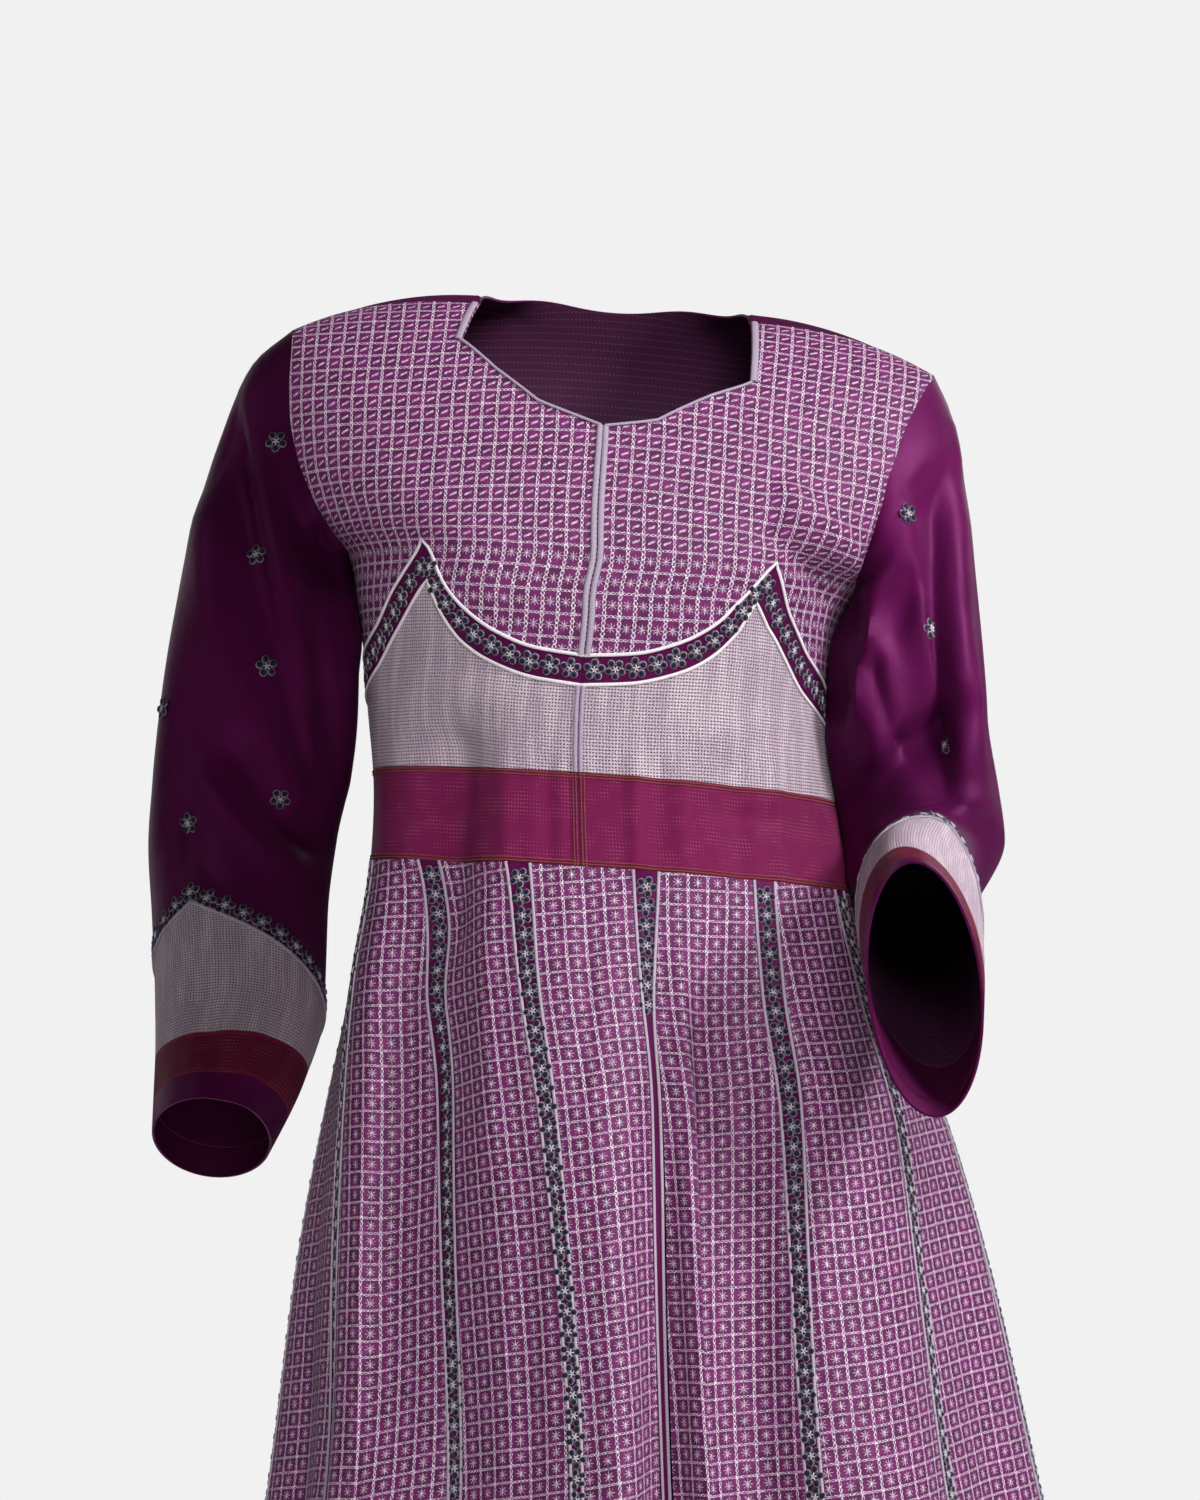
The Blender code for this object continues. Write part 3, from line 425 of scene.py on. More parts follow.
def yokePlaces(side):
    grid = settle(coonsPatch(*yokeEdges(side, 1)), settling["first"])
    for fine in (2, 4):
        rows, columns = grid.shape[0], grid.shape[1]
        finer = np.zeros((2 * rows - 1, 2 * columns - 1, 2))
        finer[::2, ::2] = grid
        finer[1::2, ::2] = (grid[1:] + grid[:-1]) / 2
        finer[:, 1::2] = (finer[:, 2::2] + finer[:, :-2:2]) / 2
        bottom, top, left, right = yokeEdges(side, fine)
        finer[0], finer[-1], finer[:, 0], finer[:, -1] = bottom, top, left, right
        grid = settle(finer, settling["finer"])
    return grid


def stripHalfAngle(share):
    width = dress["goreTop"] + (dress["goreFoot"] - dress["goreTop"]) * share
    return 180 / dress["gores"] * dress["strip"] / width


# Cloth walls

# half the gap at a seam, the reach within which creases fade by the armholes, and z below these
seam = {"gap": 0.00016, "free": 0.009, "armholeFoot": -0.23, "armholeSteps": 161}
crease = {"startFade": 5.0, "endFade": 3.0, "facing": 2.5}  # how soon creases reach their full depth


def lengthsAlong(points, axis=0):
    # the way run along a line or one axis of a grid of points, from zero
    steps = np.linalg.norm(np.diff(points, axis=axis), axis=-1)
    return np.insert(np.cumsum(steps, axis=axis), 0, 0.0, axis=axis)


def looped(points, axis=0):
    # a closed line or grid with its first place again at the end
    return np.concatenate([points, np.take(points, [0], axis=axis)], axis=axis)


def unitNormals(points, closed, outward):
    wrapped = np.concatenate([points[:, -1:], points, points[:, :1]], axis=1) if closed else points
    normals = np.cross(np.gradient(wrapped, axis=1), np.gradient(wrapped, axis=0))
    if closed:
        normals = normals[:, 1:-1]
    normals /= np.maximum(np.linalg.norm(normals, axis=2, keepdims=True), 1e-12)
    return normals if (normals * outward).sum() > 0 else -normals


def armholeTree():
    places = kdtree.KDTree(4 * seam["armholeSteps"])
    for side in (-1, 1):
        for share in np.linspace(0, 1, seam["armholeSteps"]):
            key = keyOf(armholeCurve["drop"](share))
            for face, sign in ((side, -1), ("back", 1)):
                places.insert(Vector(torsoPoint(side * armholeCurve[face](share), sign * key)), 0)
    places.balance()
    return places


armholeSeam = armholeTree()


def creased(points, normals, rows):
    # soft troughs and ridges on the face that looks at -Y or at +Y, by their tables below;
    # the last column is the share of the width on the right of a line that runs down, the steeper side
    flatPoints = points
    for face, x0, z0, x1, z1, width, depth, bow, *steep in rows:
        start, end = np.array((x0, z0)), np.array((x1, z1))
        length = np.hypot(*(end - start))
        line = (end - start) / length
        flat = points[:, :, (0, 2)] - start
        share = (flat @ line) / length
        bowed = flat @ np.array((line[1], -line[0])) + bow * 4 * share * (1 - share)
        ends = np.clip(share * crease["startFade"], 0, 1) * np.clip((1 - share) * crease["endFade"], 0, 1)
        facing = np.clip(normals[:, :, 1] * face * crease["facing"], 0, 1)
        width = np.where(bowed > 0, width, width * (steep[0] if steep else 1.0))
        lift = depth * np.exp(-(bowed / width) ** 2) * ends * ends * (3 - 2 * ends) * facing
        points = points + normals * lift[:, :, None]
    for i, j in np.argwhere(flatPoints[:, :, 2] > seam["armholeFoot"]):  # creases end at the armhole seams
        away = armholeSeam.find(Vector(flatPoints[i, j]))[2]
        if away < seam["free"]:
            points[i, j] = flatPoints[i, j] + (points[i, j] - flatPoints[i, j]) * eased(away / seam["free"])
    return points


def seamDrawn(points, closed):
    # the outer places move in by the gap of a seam
    def pull(edge, inner):
        step = inner - edge
        return edge + step / np.maximum(np.linalg.norm(step, axis=-1, keepdims=True), 1e-9) * seam["gap"]

    moved = points.copy()
    moved[0], moved[-1] = pull(points[0], points[1]), pull(points[-1], points[-2])
    if not closed:
        moved[:, 0], moved[:, -1] = pull(moved[:, 0], moved[:, 1]), pull(moved[:, -1], moved[:, -2])
    return moved


def finished(points, outward, creases, closed=False, rested=None):
    # a panel's places with its creases, its seams drawn in and its normals
    normals = unitNormals(points, closed, outward)
    points = creased(points, normals, creases)
    points = seamDrawn(rested(points) if rested else points, closed)
    return points, unitNormals(points, closed, normals)


def clothWall(name, points, normals, thickness, uv, materials, closed):
    # both faces of a panel and its rims; the inner face has the second material
    rows, columns = points.shape[:2]
    spans = columns if closed else columns - 1
    numbers = np.arange(2 * rows * columns).reshape(2, rows, columns)
    faces, inner, corners = [], [], []

    def addFace(places, layers, isInner=0):
        faces.append([int(numbers[layer, i, j % columns]) for (i, j), layer in zip(places, layers)])
        inner.append(isInner)
        corners.extend(uv[i, j] for i, j in places)

    for i in range(rows - 1):
        for j in range(spans):
            quad = [(i, j), (i, j + 1), (i + 1, j + 1), (i + 1, j)]
            addFace(quad, (0, 0, 0, 0))
            addFace(quad[::-1], (1, 1, 1, 1), 1)
    rims = [((0, j + 1), (0, j)) for j in range(spans)]
    rims += [((rows - 1, j), (rows - 1, j + 1)) for j in range(spans)]
    if not closed:
        rims += [((i, 0), (i + 1, 0)) for i in range(rows - 1)]
        rims += [((i + 1, columns - 1), (i, columns - 1)) for i in range(rows - 1)]
    for a, b in rims:
        addFace((a, b, b, a), (0, 0, 1, 1))
    mesh = bpy.data.meshes.new(name)
    vertices = np.concatenate([points.reshape(-1, 3), (points - normals * thickness).reshape(-1, 3)])
    mesh.from_pydata(vertices.tolist(), [], faces)
    mesh.uv_layers.new(name="UVMap").data.foreach_set("uv", np.array(corners, dtype=float).ravel())
    for material in materials:
        mesh.materials.append(material)
    mesh.polygons.foreach_set("material_index", inner)
    if mesh.polygons[0].normal.dot(Vector(normals[0, 0] + normals[1, 1])) < 0:
        mesh.flip_normals()
    mesh.shade_smooth()
    mesh.set_sharp_from_angle(angle=math.radians(50))
    return linked(name, mesh)


def linked(name, data):
    made = bpy.data.objects.new(name, data)
    bpy.context.scene.collection.objects.link(made)
    return made


# Colours and nodes

def linear(hexText):
    values = [int(hexText[i:i + 2], 16) / 255 for i in (1, 3, 5)]
    return tuple(v / 12.92 if v <= 0.04045 else ((v + 0.055) / 1.055) ** 2.4 for v in values) + (1.0,)


def setInputs(tree, node, inputs):
    for place, value in inputs.items():
        for each in value if isinstance(value, list) else [value]:
            each = each.socket if isinstance(each, Wire) else each
            if isinstance(each, bpy.types.NodeSocket):
                tree.links.new(each, node.inputs[place])
            else:
                node.inputs[place].default_value = each


def addNode(tree, kind, inputs=None, out=0, **settings):
    made = tree.nodes.new(kind)
    for name, value in settings.items():
        setattr(made, name, value)
    setInputs(tree, made, inputs or {})
    return Wire(tree, made.outputs[out]) if len(made.outputs) else made


class Wire:
    # one output in a node tree; plain arithmetic on it adds the nodes
    def __init__(self, tree, socket):
        self.tree, self.socket = tree, socket

    def use(self, operation, *others):
        return addNode(self.tree, "ShaderNodeMath", dict(enumerate((self, *others))), operation=operation)

    def __add__(self, other):
        return self.use("ADD", other)

    def __sub__(self, other):
        return self.use("SUBTRACT", other)

    def __mul__(self, other):
        return self.use("MULTIPLY", other)

    def __truediv__(self, other):
        return self.use("DIVIDE", other)

    def __abs__(self):
        return self.use("ABSOLUTE")

    def fold(self, span):
        return self.use("PINGPONG", span)

    def cell(self, size):  # from the middle of each cell in a row of cells
        return (self / size).use("FRACT") * size - size / 2

    def ramp(self, start, end, low=0.0, high=1.0):  # low before start, high after end
        return addNode(self.tree, "ShaderNodeMapRange", {0: self, 1: start, 2: end, 3: low, 4: high},
                       interpolation_type="SMOOTHSTEP")

    def near(self, full, gone, share=1.0):
        return self.ramp(full, gone, share, 0.0)

    def blend(self, first, second):
        first, second = (linear(c) if isinstance(c, str) else c for c in (first, second))
        return addNode(self.tree, "ShaderNodeMix", {0: self, 6: first, 7: second}, 2, data_type="RGBA")

    def speckle(self, scale, detail=3.0):
        return addNode(self.tree, "ShaderNodeTexNoise", {"Vector": self, "Scale": scale, "Detail": detail,
                                                         "Roughness": 0.5})

    def scaled(self, factors):
        return addNode(self.tree, "ShaderNodeVectorMath", {0: self, 1: factors}, operation="MULTIPLY")


def clothMaterial(name, build, gloss=0.35, tint="#ffffff"):
    material = bpy.data.materials.new(name)
    material.use_nodes = True
    tree = material.node_tree
    colour, rough, height, depth, (weight, dust, spread) = build(tree)
    bump = addNode(tree, "ShaderNodeBump", {"Strength": 1.0, "Distance": depth, "Height": height})
    setInputs(tree, tree.nodes["Principled BSDF"], {
        "Base Color": colour, "Roughness": rough, "Normal": bump, "Metallic": 0.0,
        "Specular IOR Level": gloss, "Specular Tint": linear(tint),
        "Sheen Weight": weight, "Sheen Tint": linear(dust), "Sheen Roughness": spread})
    return material


def uvParts(tree):
    uv = addNode(tree, "ShaderNodeUVMap", uv_map="UVMap")
    u = addNode(tree, "ShaderNodeSeparateXYZ", {0: uv})  # its second output is v
    return uv, u, Wire(tree, u.socket.node.outputs[1])


def objectPlace(tree):
    return addNode(tree, "ShaderNodeTexCoord", out="Object")


# Satin: a tight weave whose long floats give a broad, soft gloss and dark, clean folds
satin = {
    "colour": "#4c0b3c", "shade": "#410933", "cloud": 9.0, "weave": (900.0, 5200.0, 1.0), "crumple": 60.0,
    "rough": (0.40, 0.49), "depth": 0.00025, "sheen": (0.03, "#a03a90", 0.5),
}


def satinBuild(tree):
    place = objectPlace(tree)
    floats = uvParts(tree)[0].scaled(satin["weave"]).speckle(1.0, 1.0)
    colour = place.speckle(satin["cloud"]).ramp(0.35, 0.65).blend(satin["colour"], satin["shade"])
    height = place.speckle(satin["crumple"], 4.0) * 3.0 + floats * 0.25
    return colour, floats.ramp(0.2, 0.8, *satin["rough"]), height, satin["depth"], satin["sheen"]


# Reverse: the wrong side, duller and darker, with the backs of the stitches as rows of dots
reverse = {
    "colour": "#43123a", "stitch": "#a08898", "row": 0.0030, "pitch": 0.0014, "share": 0.22,
    "rough": 0.7, "depth": 0.0002, "sheen": (0.05, "#905080", 0.5),
}


def reverseBuild(tree):
    _, u, v = uvParts(tree)
    row = v.fold(reverse["row"]).near(0.0002, 0.0006)
    mark = row * u.fold(reverse["pitch"]).near(0.0004, 0.0007) * reverse["share"]
    colour = mark.blend(reverse["colour"], reverse["stitch"])
    return colour, reverse["rough"], mark, reverse["depth"], reverse["sheen"]


# Turned-in cloth inside the cuffs
turnedIn = {"colour": "#4c1038", "shade": "#36092a", "cloud": 12.0, "rough": 0.55, "depth": 0.0003,
            "sheen": (0.04, "#a03a90", 0.5)}


def facingBuild(tree):
    cloud = objectPlace(tree).speckle(turnedIn["cloud"])
    colour = cloud.blend(turnedIn["colour"], turnedIn["shade"])
    return colour, turnedIn["rough"], cloud, turnedIn["depth"], turnedIn["sheen"]


# Chain-stitched grid: raised links of silver-lilac thread over satin; the eyes of the links and the
# gaps between threads stay dark, so that the grid reads as thread and not as print
stitch = {
    # each pair of thread colours: the lilac thread, then a near white that is painted glints of the silver
    # thread
    "ground": "#6c1e5e", "shade": "#511648", "yokeThreads": ("#a282a2", "#f6e6f2"),
    "goreThreads": ("#a27ca2", "#fff0fa"), "yokeCell": (0.0105, 0.0158), "goreCell": (0.0141, 0.0104),
    "dashRow": 0.0107, "dashSlant": 0.45, "line": 0.0025, "dashLine": 0.0026, "starLine": 0.0034,
    "link": 0.0036, "cross": 0.0020, "yokeCross": 0.0023, "crossLink": 0.0028,
    "star": 0.0040, "ray": 0.00026, "depth": 0.0009, "sheen": (0.04, "#d8a8cc", 0.4),
}


def chain(across, along, width, link):
    phase = along.fold(link / 2)  # 0 where links join, link / 2 at their middle
    half = phase.ramp(0.0, link / 2, 0.55, 1.0) * (width / 2)
    eye = across.near(width * 0.12, width * 0.26) * phase.ramp(link * 0.14, link * 0.28)
    return (across / half).near(0.80, 1.12) * (eye * -0.95 + 1.0)


def slantedDash(x, y):
    return abs(x * stitch["dashSlant"] + y).near(0.00060, 0.00125) * abs(x).near(0.0018, 0.0031, 0.64)


def smallStar(x, y):
    aside, off, ray, star = abs(x), abs(y), stitch["ray"], stitch["star"]
    diagonal = (abs(x + y) * 0.707).use("MINIMUM", abs(x - y) * 0.707)
    rays = aside.use("MINIMUM", off).use("MINIMUM", diagonal).near(ray * 0.6, ray * 1.9)
    fine = rays * (x * x + y * y).use("SQRT").near(star * 0.70, star, 0.60)
    spindle = aside.near(0.00020, 0.00062, 0.85) * off.near(star * 0.35, star * 0.9)
    return fine.use("MAXIMUM", spindle)


def gridBuild(cell, threads, zoned):
    cellU, cellV = cell

    def pattern(u, v, tall, motif, line):
        uprights = chain(u.fold(cellU / 2), v, line, stitch["link"])
        cross = stitch["yokeCross"] if zoned else stitch["cross"]
        level = chain(v.fold(tall / 2), u, cross, stitch["crossLink"]) * 0.9
        return uprights.use("MAXIMUM", level.use("MAXIMUM", motif(u.cell(cellU), v.cell(tall))))

    def build(tree):
        uv, u, v = uvParts(tree)
        u = u + (uv.speckle(220.0, 1.0) * 0.0009 - 0.00045)  # a hand-guided, uneven line
        if zoned:  # dashes above the line where v is 0, stars below it
            upper = v.near(-0.0002, 0.0002)
            thread = (pattern(u, v, stitch["dashRow"], slantedDash, stitch["dashLine"]) * upper
                      + pattern(u, v, cellV, smallStar, stitch["starLine"]) * (upper * -1.0 + 1.0))
        else:
            thread = pattern(u, v, cellV, smallStar, stitch["line"])
        fibres, patchy = uv.speckle(640.0, 2.0), uv.speckle(90.0, 2.0)
        # fibres vary the thread's tone at random; its near-white end is painted glints of the silver thread
        strand = uv.speckle(430.0, 1.0).near(0.36, 0.62, 0.26).blend(fibres.ramp(0.34, 0.60).blend(*threads),
                                                                     stitch["ground"])
        ground = patchy.ramp(0.35, 0.65).blend(stitch["ground"], stitch["shade"])
        cover = thread * patchy.ramp(0.1, 0.5, 0.85, 1.0)
        return (cover.blend(ground, strand), thread * -0.05 + 0.62, fibres * 0.15 + thread,
                stitch["depth"], stitch["sheen"])
    return build


# Dense stitching: the satin is covered, rows of needle holes and upright streaks remain; the holes show the
# satin, painted darker than it as shade in the hollows
# hole: the satin seen in a needle hole, darkened by painted shade
pale = {"thread": "#a48fa2", "lit": "#d8c5cd", "hole": "#2c1428", "across": 0.0022, "down": 0.0023,
        "streak": 0.40, "grain": 0.60, "rough": 0.58, "depth": 0.0006, "sheen": (0.05, "#e8d8e4", 0.4)}


def paleBuild(tree):
    uv, u, v = uvParts(tree)
    u = uv.speckle(160.0, 1.0) * 0.0016 + u
    hole = (u.fold(pale["across"] / 2).ramp(0.00036, 0.00080, 1.0, 0.10)
            * v.fold(pale["down"] / 2).ramp(0.00026, 0.00070, 1.0, 0.10))
    streak = uv.scaled((1.0, 0.12, 1.0)).speckle(130.0, 2.0).ramp(0.40, 0.68)
    grain = uv.speckle(900.0, 1.0).ramp(0.35, 0.65)
    thread = (streak * pale["streak"] + grain * pale["grain"]).blend(pale["thread"], pale["lit"])
    # the hole colour is the satin in each hole with painted shade over it
    colour = (hole * 0.90).blend(thread, pale["hole"])
    return colour, pale["rough"], grain * 0.4 - hole, pale["depth"], pale["sheen"]


# Braid: a diagonal twill in raspberry with a grid of gold dots, redder along both edges
braid = {
    "main": "#8e1c5c", "dark": "#561038", "dot": "#c87a80", "edge": "#7c1c3a", "height": 0.064,
    "cuffMain": "#781c3e", "cuffDark": "#4c0e24", "cuffHeight": 0.032, "twill": 0.00055,
    "dotPitch": (0.0011, 0.0013), "rough": 0.52, "depth": 0.0004, "sheen": (0.06, "#c8a8b8", 0.4),
}


def braidBuild(height, main, dark):
    def build(tree):
        uv, u, v = uvParts(tree)
        weave = (u + v).fold(braid["twill"]).ramp(0.00012, 0.00045)
        dots = [part.fold(pitch).near(0.00030, 0.00055) for part, pitch in zip((u, v), braid["dotPitch"])]
        dot = dots[0] * dots[1] * uv.speckle(60.0, 2.0).ramp(0.42, 0.68, 0.04, 0.50)
        edge = v.use("MINIMUM", v * -1.0 + height).near(0.0022, 0.0034)
        base = edge.blend(weave.blend(dark, main), braid["edge"])
        return dot.blend(base, braid["dot"]), braid["rough"], weave + dot, braid["depth"], braid["sheen"]
    return build


# Threads wound or laid side by side: fine ridges across the run of a cord, with painted shade in the grooves
# between its stitches, or loose fibres
threads = {"depth": 0.0003, "cordSheen": (0.05, "#f0e4ee", 0.35), "flossSheen": (0.15, "#e8e0ec", 0.35)}


def threadBuild(light, dark, pitch, rough):
    def build(tree):
        along = addNode(tree, "ShaderNodeAttribute", out="Fac", attribute_name="stitchAlong")
        ridge = along.fold(pitch / 2).ramp(0.0, pitch * 0.35)
        # the dark colour is painted shade in the grooves between stitches, the light one the thread on its
        # ridges
        return ridge.blend(dark, light), rough, ridge, threads["depth"], threads["cordSheen"]
    return build


def flossBuild(light, dark, rough):
    def build(tree):
        fibre = objectPlace(tree).speckle(1500.0, 2.0).ramp(0.35, 0.65)
        return fibre.blend(dark, light), rough, fibre, threads["depth"], threads["flossSheen"]
    return build


colours = {key: clothMaterial(name, *look) for key, name, *look in (
    ("satin", "plum satin, woven", satinBuild, 0.30, "#c450ac"),
    ("reverse", "plum satin, wrong side with stitch backs", reverseBuild),
    ("yoke", "plum satin, chain-stitched in lilac thread, yoke",
     gridBuild(stitch["yokeCell"], stitch["yokeThreads"], True), 0.22),
    ("gore", "plum satin, chain-stitched in lilac thread, gore",
     gridBuild(stitch["goreCell"], stitch["goreThreads"], False), 0.22),
    ("floral", "plum satin, ground of the flower bands", satinBuild, 0.3, "#d070c0"),
    ("pale", "lilac thread, densely stitched", paleBuild),
    ("braid", "raspberry braid, woven with gold dots",
     braidBuild(braid["height"], braid["main"], braid["dark"]), 0.24, "#e8a0c0"),
    ("cuffBraid", "maroon braid, woven",
     braidBuild(braid["cuffHeight"], braid["cuffMain"], braid["cuffDark"]), 0.14, "#d08098"),
    ("facing", "plum satin, turned in at the cuffs", facingBuild, 0.3, "#d070c0"),
    # each cord's second colour is its painted shade in the grooves between stitches
    ("cord", "lilac cord, satin-stitched", threadBuild("#f8f2f5", "#c8b8c6", 0.0009, 0.5)),
    ("band", "lilac band, satin-stitched", threadBuild("#b8a8bc", "#8a7690", 0.0009, 0.5)),
    ("stripCord", "lilac cord, satin-stitched, duller", threadBuild("#cbbacb", "#8e7a92", 0.0009, 0.55), 0.2),
    ("greyCord", "grey-lilac cord, satin-stitched", threadBuild("#b8acbc", "#6e6076", 0.0009, 0.5)),
    ("redCord", "red-brown cord, overcast", threadBuild("#8c3a44", "#4e1626", 0.0012, 0.55)),
    ("petal", "grey thread, wound petals", flossBuild("#a89cb0", "#544860", 0.55), 0.2),
    ("knot", "navy thread, knotted petal centres", flossBuild("#1e2034", "#0a0c16", 0.5), 0.15),
    ("star", "white thread, star centres", flossBuild("#f2eef2", "#b8aebc", 0.5)),
)}
print("materials made")


# Cords and flowers by Geometry Nodes

def newTree(name, **sockets):
    tree = bpy.data.node_groups.new(name, "GeometryNodeTree")
    for label, kind in {"Geometry": "Geometry", **sockets}.items():
        tree.interface.new_socket(label, in_out="INPUT", socket_type="NodeSocket" + kind)
    tree.interface.new_socket("Geometry", in_out="OUTPUT", socket_type="NodeSocketGeometry")
    return tree, tree.nodes.new("NodeGroupInput").outputs


def namedVector(tree, name):
    return addNode(tree, "GeometryNodeInputNamedAttribute", {"Name": name}, data_type="FLOAT_VECTOR")


def cordTree():
    tree, given = newTree("satin-stitch cord", Width="Float", Height="Float", Thread="Material")
    add = partial(addNode, tree)
    path = add("GeometryNodeMeshToCurve", {0: given["Geometry"]})
    length = add("GeometryNodeSplineParameter", out="Length")
    path = add("GeometryNodeStoreNamedAttribute", {"Geometry": path, "Name": "stitchAlong", "Value": length},
               data_type="FLOAT", domain="POINT")
    path = add("GeometryNodeSetCurveNormal", {"Curve": path, "Normal": namedVector(tree, "lay")}, mode="FREE")
    ring = add("GeometryNodeCurvePrimitiveCircle", {"Resolution": 8, "Radius": 0.5})
    size = add("ShaderNodeCombineXYZ", {0: given["Height"], 1: given["Width"], 2: 1.0})
    profile = add("GeometryNodeTransform", {"Geometry": ring, "Scale": size})
    swept = add("GeometryNodeCurveToMesh", {"Curve": path, "Profile Curve": profile, "Fill Caps": True})
    whole = add("GeometryNodeRealizeInstances", {0: add("GeometryNodeSetShadeSmooth", {0: swept})})
    made = add("GeometryNodeSetMaterial", {"Geometry": whole, "Material": given["Thread"]})
    add("NodeGroupOutput", {0: made})
    return tree


# One flower: five wound petals with dark knots, round a white star of five rays
flower = {
    "petal": 0.0029, "rise": 0.00085, "ring": 0.0047, "knot": 0.0023, "knotRise": 0.0006, "ray": 0.0022,
    "rayThick": 0.0006, "spin": 0.5, "sizes": (0.95, 1.05), "lift": 0.0004,
}


def flowerTree():
    tree, given = newTree("five-petal flowers", Size="Float", Seed="Int", Petal="Material", Knot="Material",
                          Star="Material")

    add = partial(addNode, tree)

    def blob(segments, rings, scale, move, material):
        ball = add("GeometryNodeMeshUVSphere", {"Segments": segments, "Rings": rings, "Radius": 1.0})
        ball = add("GeometryNodeTransform", {"Geometry": ball, "Translation": move, "Scale": scale})
        return add("GeometryNodeSetMaterial", {"Geometry": ball, "Material": given[material]})

    def turned(up, ahead):
        return add("FunctionNodeAxesToRotation", {0: up, 1: ahead}, primary_axis="Z", secondary_axis="X")

    def fiveOf(radius, thing):
        circle = add("GeometryNodeMeshCircle", {"Vertices": 5, "Radius": radius})
        turn = turned((0.0, 0.0, 1.0), add("GeometryNodeInputPosition"))
        return add("GeometryNodeInstanceOnPoints", {"Points": circle, "Instance": thing, "Rotation": turn})

    def drawn(low, high):
        return add("FunctionNodeRandomValue", {2: low, 3: high, "Seed": given["Seed"]}, 1, data_type="FLOAT")

    wide, knot, ray, rise = (flower[name] for name in ("petal", "knot", "ray", "rise"))
    petal = add("GeometryNodeJoinGeometry", {0: [
        blob(8, 4, (wide * 1.05, wide, rise), (0.0, 0.0, 0.0), "Petal"),
        blob(7, 3, (knot * 1.05, knot, flower["knotRise"]), (0.0002, 0.0, rise * 0.62), "Knot")]})
    thick = flower["rayThick"]
    star = blob(4, 3, (ray * 0.75, thick, thick), (ray * 0.55, 0.0, 0.0008), "Star")
    whole = add("GeometryNodeJoinGeometry", {0: [fiveOf(flower["ring"], petal), fiveOf(0.0001, star)]})
    single = add("GeometryNodeRealizeInstances", {0: whole})
    spin = add("ShaderNodeCombineXYZ", {2: drawn(-flower["spin"], flower["spin"])})
    turn = add("FunctionNodeRotateRotation", {0: turned(namedVector(tree, "lay"), namedVector(tree, "along")),
                                              1: add("FunctionNodeEulerToRotation", {0: spin})},
               rotation_space="LOCAL")
    size = drawn(*flower["sizes"]) * given["Size"]
    scale = add("ShaderNodeCombineXYZ", {0: size, 1: size, 2: size})
    spread = add("GeometryNodeInstanceOnPoints",
                 {"Points": given["Geometry"], "Instance": single, "Rotation": turn, "Scale": scale})
    real = add("GeometryNodeRealizeInstances", {0: spread})
    add("NodeGroupOutput", {0: add("GeometryNodeSetShadeSmooth", {0: real})})
    return tree


trees = {"cord": cordTree(), "flower": flowerTree()}


def grown(name, kind, runs, values, slot):
    # a plain mesh from one of the trees; each run is (points, normals, closed) or, for flowers, has tangents
    vertices, edges, lay, along = [], [], [], []
    for points, normals, third in runs:
        first, last = len(vertices), len(vertices) + len(points) - 1
        vertices += [tuple(p) for p in points]
        lay += [tuple(n) for n in normals]
        if kind == "cord":
            edges += [(k, k + 1) for k in range(first, last)] + ([(last, first)] if third else [])
        else:
            along += [tuple(t) for t in third]
    mesh = bpy.data.meshes.new(name + "_path")
    mesh.from_pydata(vertices, edges, [])
    for label, data in (("lay", lay), ("along", along)):
        if data:
            attribute = mesh.attributes.new(label, "FLOAT_VECTOR", "POINT")
            attribute.data.foreach_set("vector", np.array(data, dtype=float).ravel())
    holder = linked(name + "_path", mesh)
    modifier = holder.modifiers.new(kind, "NODES")
    modifier.node_group = trees[kind]
    for item in trees[kind].interface.items_tree:
        if item.in_out == "INPUT" and item.name in values:
            modifier[item.identifier] = values[item.name]
    bpy.context.view_layer.update()
    depsgraph = bpy.context.evaluated_depsgraph_get()
    grownMesh = bpy.data.meshes.new_from_object(holder.evaluated_get(depsgraph), depsgraph=depsgraph)
    bpy.data.objects.remove(holder, do_unlink=True)
    grownMesh.name = name
    piece = linked(name, grownMesh)
    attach(piece, "root")
    return piece


def cordOf(name, runs, width, height, thread, slot="lilac_cord"):
    return grown(name, "cord", runs, {"Width": width, "Height": height, "Thread": colours[thread]}, slot)


def flowersOf(name, places, size, seed, lift=flower["lift"]):
    centre, facings, tangents = places
    values = {"Size": size, "Seed": seed}
    values.update((part, colours[part.lower()]) for part in ("Petal", "Knot", "Star"))
    return grown(name, "flower", [(centre + facings * lift, facings, tangents)], values, "floral_embroidery")


def spaced(points, normals, pitch, start, end, closed=False):
    # places at an even pitch along a line of points, with their normals and tangents
    if closed:
        points, normals = looped(points), looped(normals)
    lengths = lengthsAlong(points)
    total = lengths[-1] - start - end
    count = max(1, int(round(total / pitch)))
    at = start + total * (np.arange(count) + 0.5) / count

    def pick(values, where):
        return np.stack([np.interp(where, lengths, values[:, k]) for k in range(3)], axis=1)

    reach = 0.003
    ahead = pick(points, np.minimum(at + reach, lengths[-1])) - pick(points, np.maximum(at - reach, 0))
    facings = pick(normals, at)
    facings /= np.linalg.norm(facings, axis=1, keepdims=True)
    return pick(points, at), facings, ahead / np.linalg.norm(ahead, axis=1, keepdims=True)


def edgeRun(points, normals, edge, inner, inset, height):
    # a line beside a panel's edge, by the places of the edge and of the next line in
    inward = points[inner] - points[edge]
    inward /= np.linalg.norm(inward, axis=1, keepdims=True)
    return points[edge] + inward * inset + normals[edge] * height, normals[edge], False


longEdges = ((0, 1), (-1, -2))
sideEdges = ((np.s_[:, 0], np.s_[:, 1]), (np.s_[:, -1], np.s_[:, -2]))


# The pattern's measure on the cloth: metres round from the centre front, and down from the under-bust

